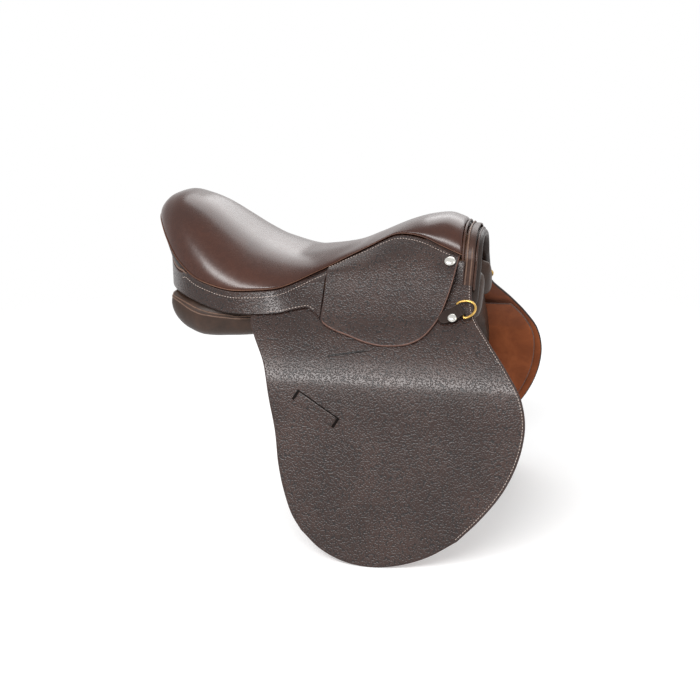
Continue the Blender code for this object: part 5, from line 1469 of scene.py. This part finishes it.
# Darker than the head leather: the lining's own tone, and painted shade inside the arch.
LINING_AND_SHADE_FINISH = smooth_leather("lining_leather", (32, 22, 17), (48, 34, 27), 0.40, 0.26)
arch = head_arch((HEAD_FACING_START + HEAD_FACING_END) / 2, HEAD_FACING_HALF, *HEAD_FOOT)
section = strip_section((HEAD_FACING_END - HEAD_FACING_START) / 2, HEAD_FACING_HALF, 0.5, 0.7, 36)
head = piece("head_facing_leather", *swept(arch, arch_out(arch), section), [HEAD_FINISH])
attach(head, "saddle")
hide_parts("pommel_facing")
for name, x, foot in HEAD_WELTS:
    arch = head_arch(x, WELT_RADIUS, *foot)
    welt = piece(f"head_welt_{name}", *swept(arch, (1, 0, 0), circle(WELT_RADIUS)), [HEAD_FINISH])
    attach(welt, "saddle")
    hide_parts(f"pommel_welt_{name}")
for name, x in HEAD_RIBS:
    arch = head_arch(x, RIB_DEPTH, *RIB_FOOT)
    rib = piece(f"head_rib_{name}", *swept(arch, (1, 0, 0), circle(RIB_RADIUS)), [WELT_FINISH])
    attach(rib, "saddle")
arch = head_arch(ROLL_PLACE, ROLL_DEPTH, *ROLL_FOOT)
section = strip_section(*ROLL_HALVES, 1, 1, 36)
roll = piece("head_lining_leather", *swept(arch, arch_out(arch), section), [LINING_AND_SHADE_FINISH])
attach(roll, "saddle")


# Nails and dees. A domed nickel nail on each side of the head, a smaller one below it that holds
# a folded leather chape, and in the chape a brass dee.
NICKEL = (206, 204, 198)
BRASS = (196, 158, 88)
NICKEL_FINISH = forged_metal("nickel", NICKEL, 0.20, 0.1)
BRASS_FINISH = forged_metal("brass", BRASS, 0.26, 0.15)
DEE_PIVOT = np.array([0.183427, 0.137209, 0.039596])
DEE_WAY = np.array([0.46947, 0.63923, -0.60908])
DEE_OUT = np.array([0, 0.68983, 0.72397])
DEE_REACH, DEE_HALF, DEE_WIRE = 0.0215, 0.0143, 0.00175
CHAPE_HALF = 0.0098
CHAPE_LEATHER_HALF = 0.001
CHAPE_TAIL = -0.0235
UPPER_NAIL_PLACE, LOWER_NAIL_PLACE = 0.162, 0.173
LOWER_NAIL_HEIGHT = 0.0275
SHANK_RADIUS = 0.0015
# radius, rise of the dome and length of the shank
UPPER_NAIL, LOWER_NAIL = (0.0085, 0.0042, 0.020), (0.007, 0.0040, 0.016)
UPPER_NAIL_LIFT, LOWER_NAIL_LIFT = 0.0067, 0.0050
NAIL_PROFILE = (
    # share of the radius and of the dome's rise, from the top to the underside
    (0.0, 1.0), (0.35, 0.955), (0.62, 0.82), (0.80, 0.62), (0.92, 0.38), (0.985, 0.16), (1.0, 0.0),
    (0.93, -0.12), (0.18, -0.14),
)


def nail(name, base, axis, radius, rise, depth):
    """A domed nail: a profile turned about its axis, with its shank below."""
    dome = through(NAIL_PROFILE, 26) * [radius, rise]
    shank = [[SHANK_RADIUS, -0.0008], [SHANK_RADIUS, -depth], [SHANK_RADIUS * 0.2, -depth]]
    profile = np.concatenate([[[radius * 0.004, rise]], dome[1:], shank])
    first = unit(np.cross(axis, (1, 0, 0)))
    second = np.cross(axis, first)
    angle = np.arange(40) * 2 * math.pi / 40
    outwards = np.outer(np.cos(angle), first) + np.outer(np.sin(angle), second)
    rings = base + outwards[None] * profile[:, :1, None] + axis * profile[:, 1:, None]
    index = np.arange(len(profile) * 40).reshape(-1, 40)
    faces = tube(index) + [index[0, ::-1].tolist(), index[-1].tolist()]
    return piece(name, rings.reshape(-1, 3), faces, [NICKEL_FINISH])


forward = np.cross(DEE_OUT, DEE_WAY) * -1
turn = np.linspace(0.12, math.pi - 0.12, 60)
bow = np.stack([DEE_REACH * np.sin(turn) ** 0.8, -DEE_HALF * np.cos(turn)], axis=1)
bar = np.stack([np.zeros(30), np.linspace(0.93, -0.93, 30) * DEE_HALF], axis=1)
ring_line = resampled(np.concatenate([bar, bow, bar[:1]]), 121)[:-1]
for _ in range(3):
    ring_line = ring_line * 0.5 + (np.roll(ring_line, 1, axis=0) + np.roll(ring_line, -1, axis=0)) * 0.25
ring_path = DEE_PIVOT + ring_line[:, :1] * forward + ring_line[:, 1:] * DEE_WAY

bend = DEE_WIRE + 0.0006 + CHAPE_LEATHER_HALF
turn = np.radians(np.linspace(-90, 90, 24))
fold = np.stack([bend * np.cos(turn), bend * np.sin(turn)], axis=1)
tail = np.linspace(CHAPE_TAIL, -0.001, 16)
lower_tail = np.stack([tail, np.full(16, -bend)], axis=1)
closing = np.interp(tail, (CHAPE_TAIL, -0.007, -0.001), (-0.0012, -0.0008, bend))
upper_tail = np.stack([tail, closing], axis=1)[::-1]
strip_line = eased_line(resampled(np.concatenate([lower_tail, fold, upper_tail]), 90), 4)
chape_path = DEE_PIVOT + strip_line[:, :1] * forward + strip_line[:, 1:] * DEE_OUT
chape_section = strip_section(CHAPE_HALF, CHAPE_LEATHER_HALF, 0.3, 0.6, 24)

lower_base = on_side(LOWER_NAIL_PLACE, down(LOWER_NAIL_HEIGHT), 0.0) + DEE_OUT * LOWER_NAIL_LIFT
top = seat_side(UPPER_NAIL_PLACE) - [SEAM_STEP_OUT, 0]
way = unit(top - skirt_hinge)
upper_axis = np.array([0, way[1], -way[0]])
upper_base = np.array([UPPER_NAIL_PLACE, *(top * 0.55 + skirt_hinge * 0.45)])
upper_base = upper_base + upper_axis * UPPER_NAIL_LIFT
for side, mirror in SIDES:
    points, faces = swept(ring_path * mirror, DEE_OUT * mirror, circle(DEE_WIRE, 16), closed=True)
    ring = piece(f"dee_wire_{side}", points, faces, [BRASS_FINISH])
    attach(ring, f"dee_{side}")
    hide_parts(f"dee_{side}")

    spine = chape_path * mirror
    up = np.cross(DEE_WAY * mirror, unit(np.gradient(spine, axis=0)))
    chape = piece(f"dee_chape_leather_{side}", *swept(spine, up, chape_section), [DARK_FINISH])
    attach(chape, "saddle")
    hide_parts(f"dee_chape_{side}")

    lower = nail(f"lower_nail_head_{side}", lower_base * mirror, DEE_OUT * mirror, *LOWER_NAIL)
    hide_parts(f"lower_nail_{side}")
    upper = nail(f"upper_nail_head_{side}", upper_base * mirror, upper_axis * mirror, *UPPER_NAIL)
    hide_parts(f"upper_nail_{side}")
    for part in (lower, upper):
        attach(part, "saddle")
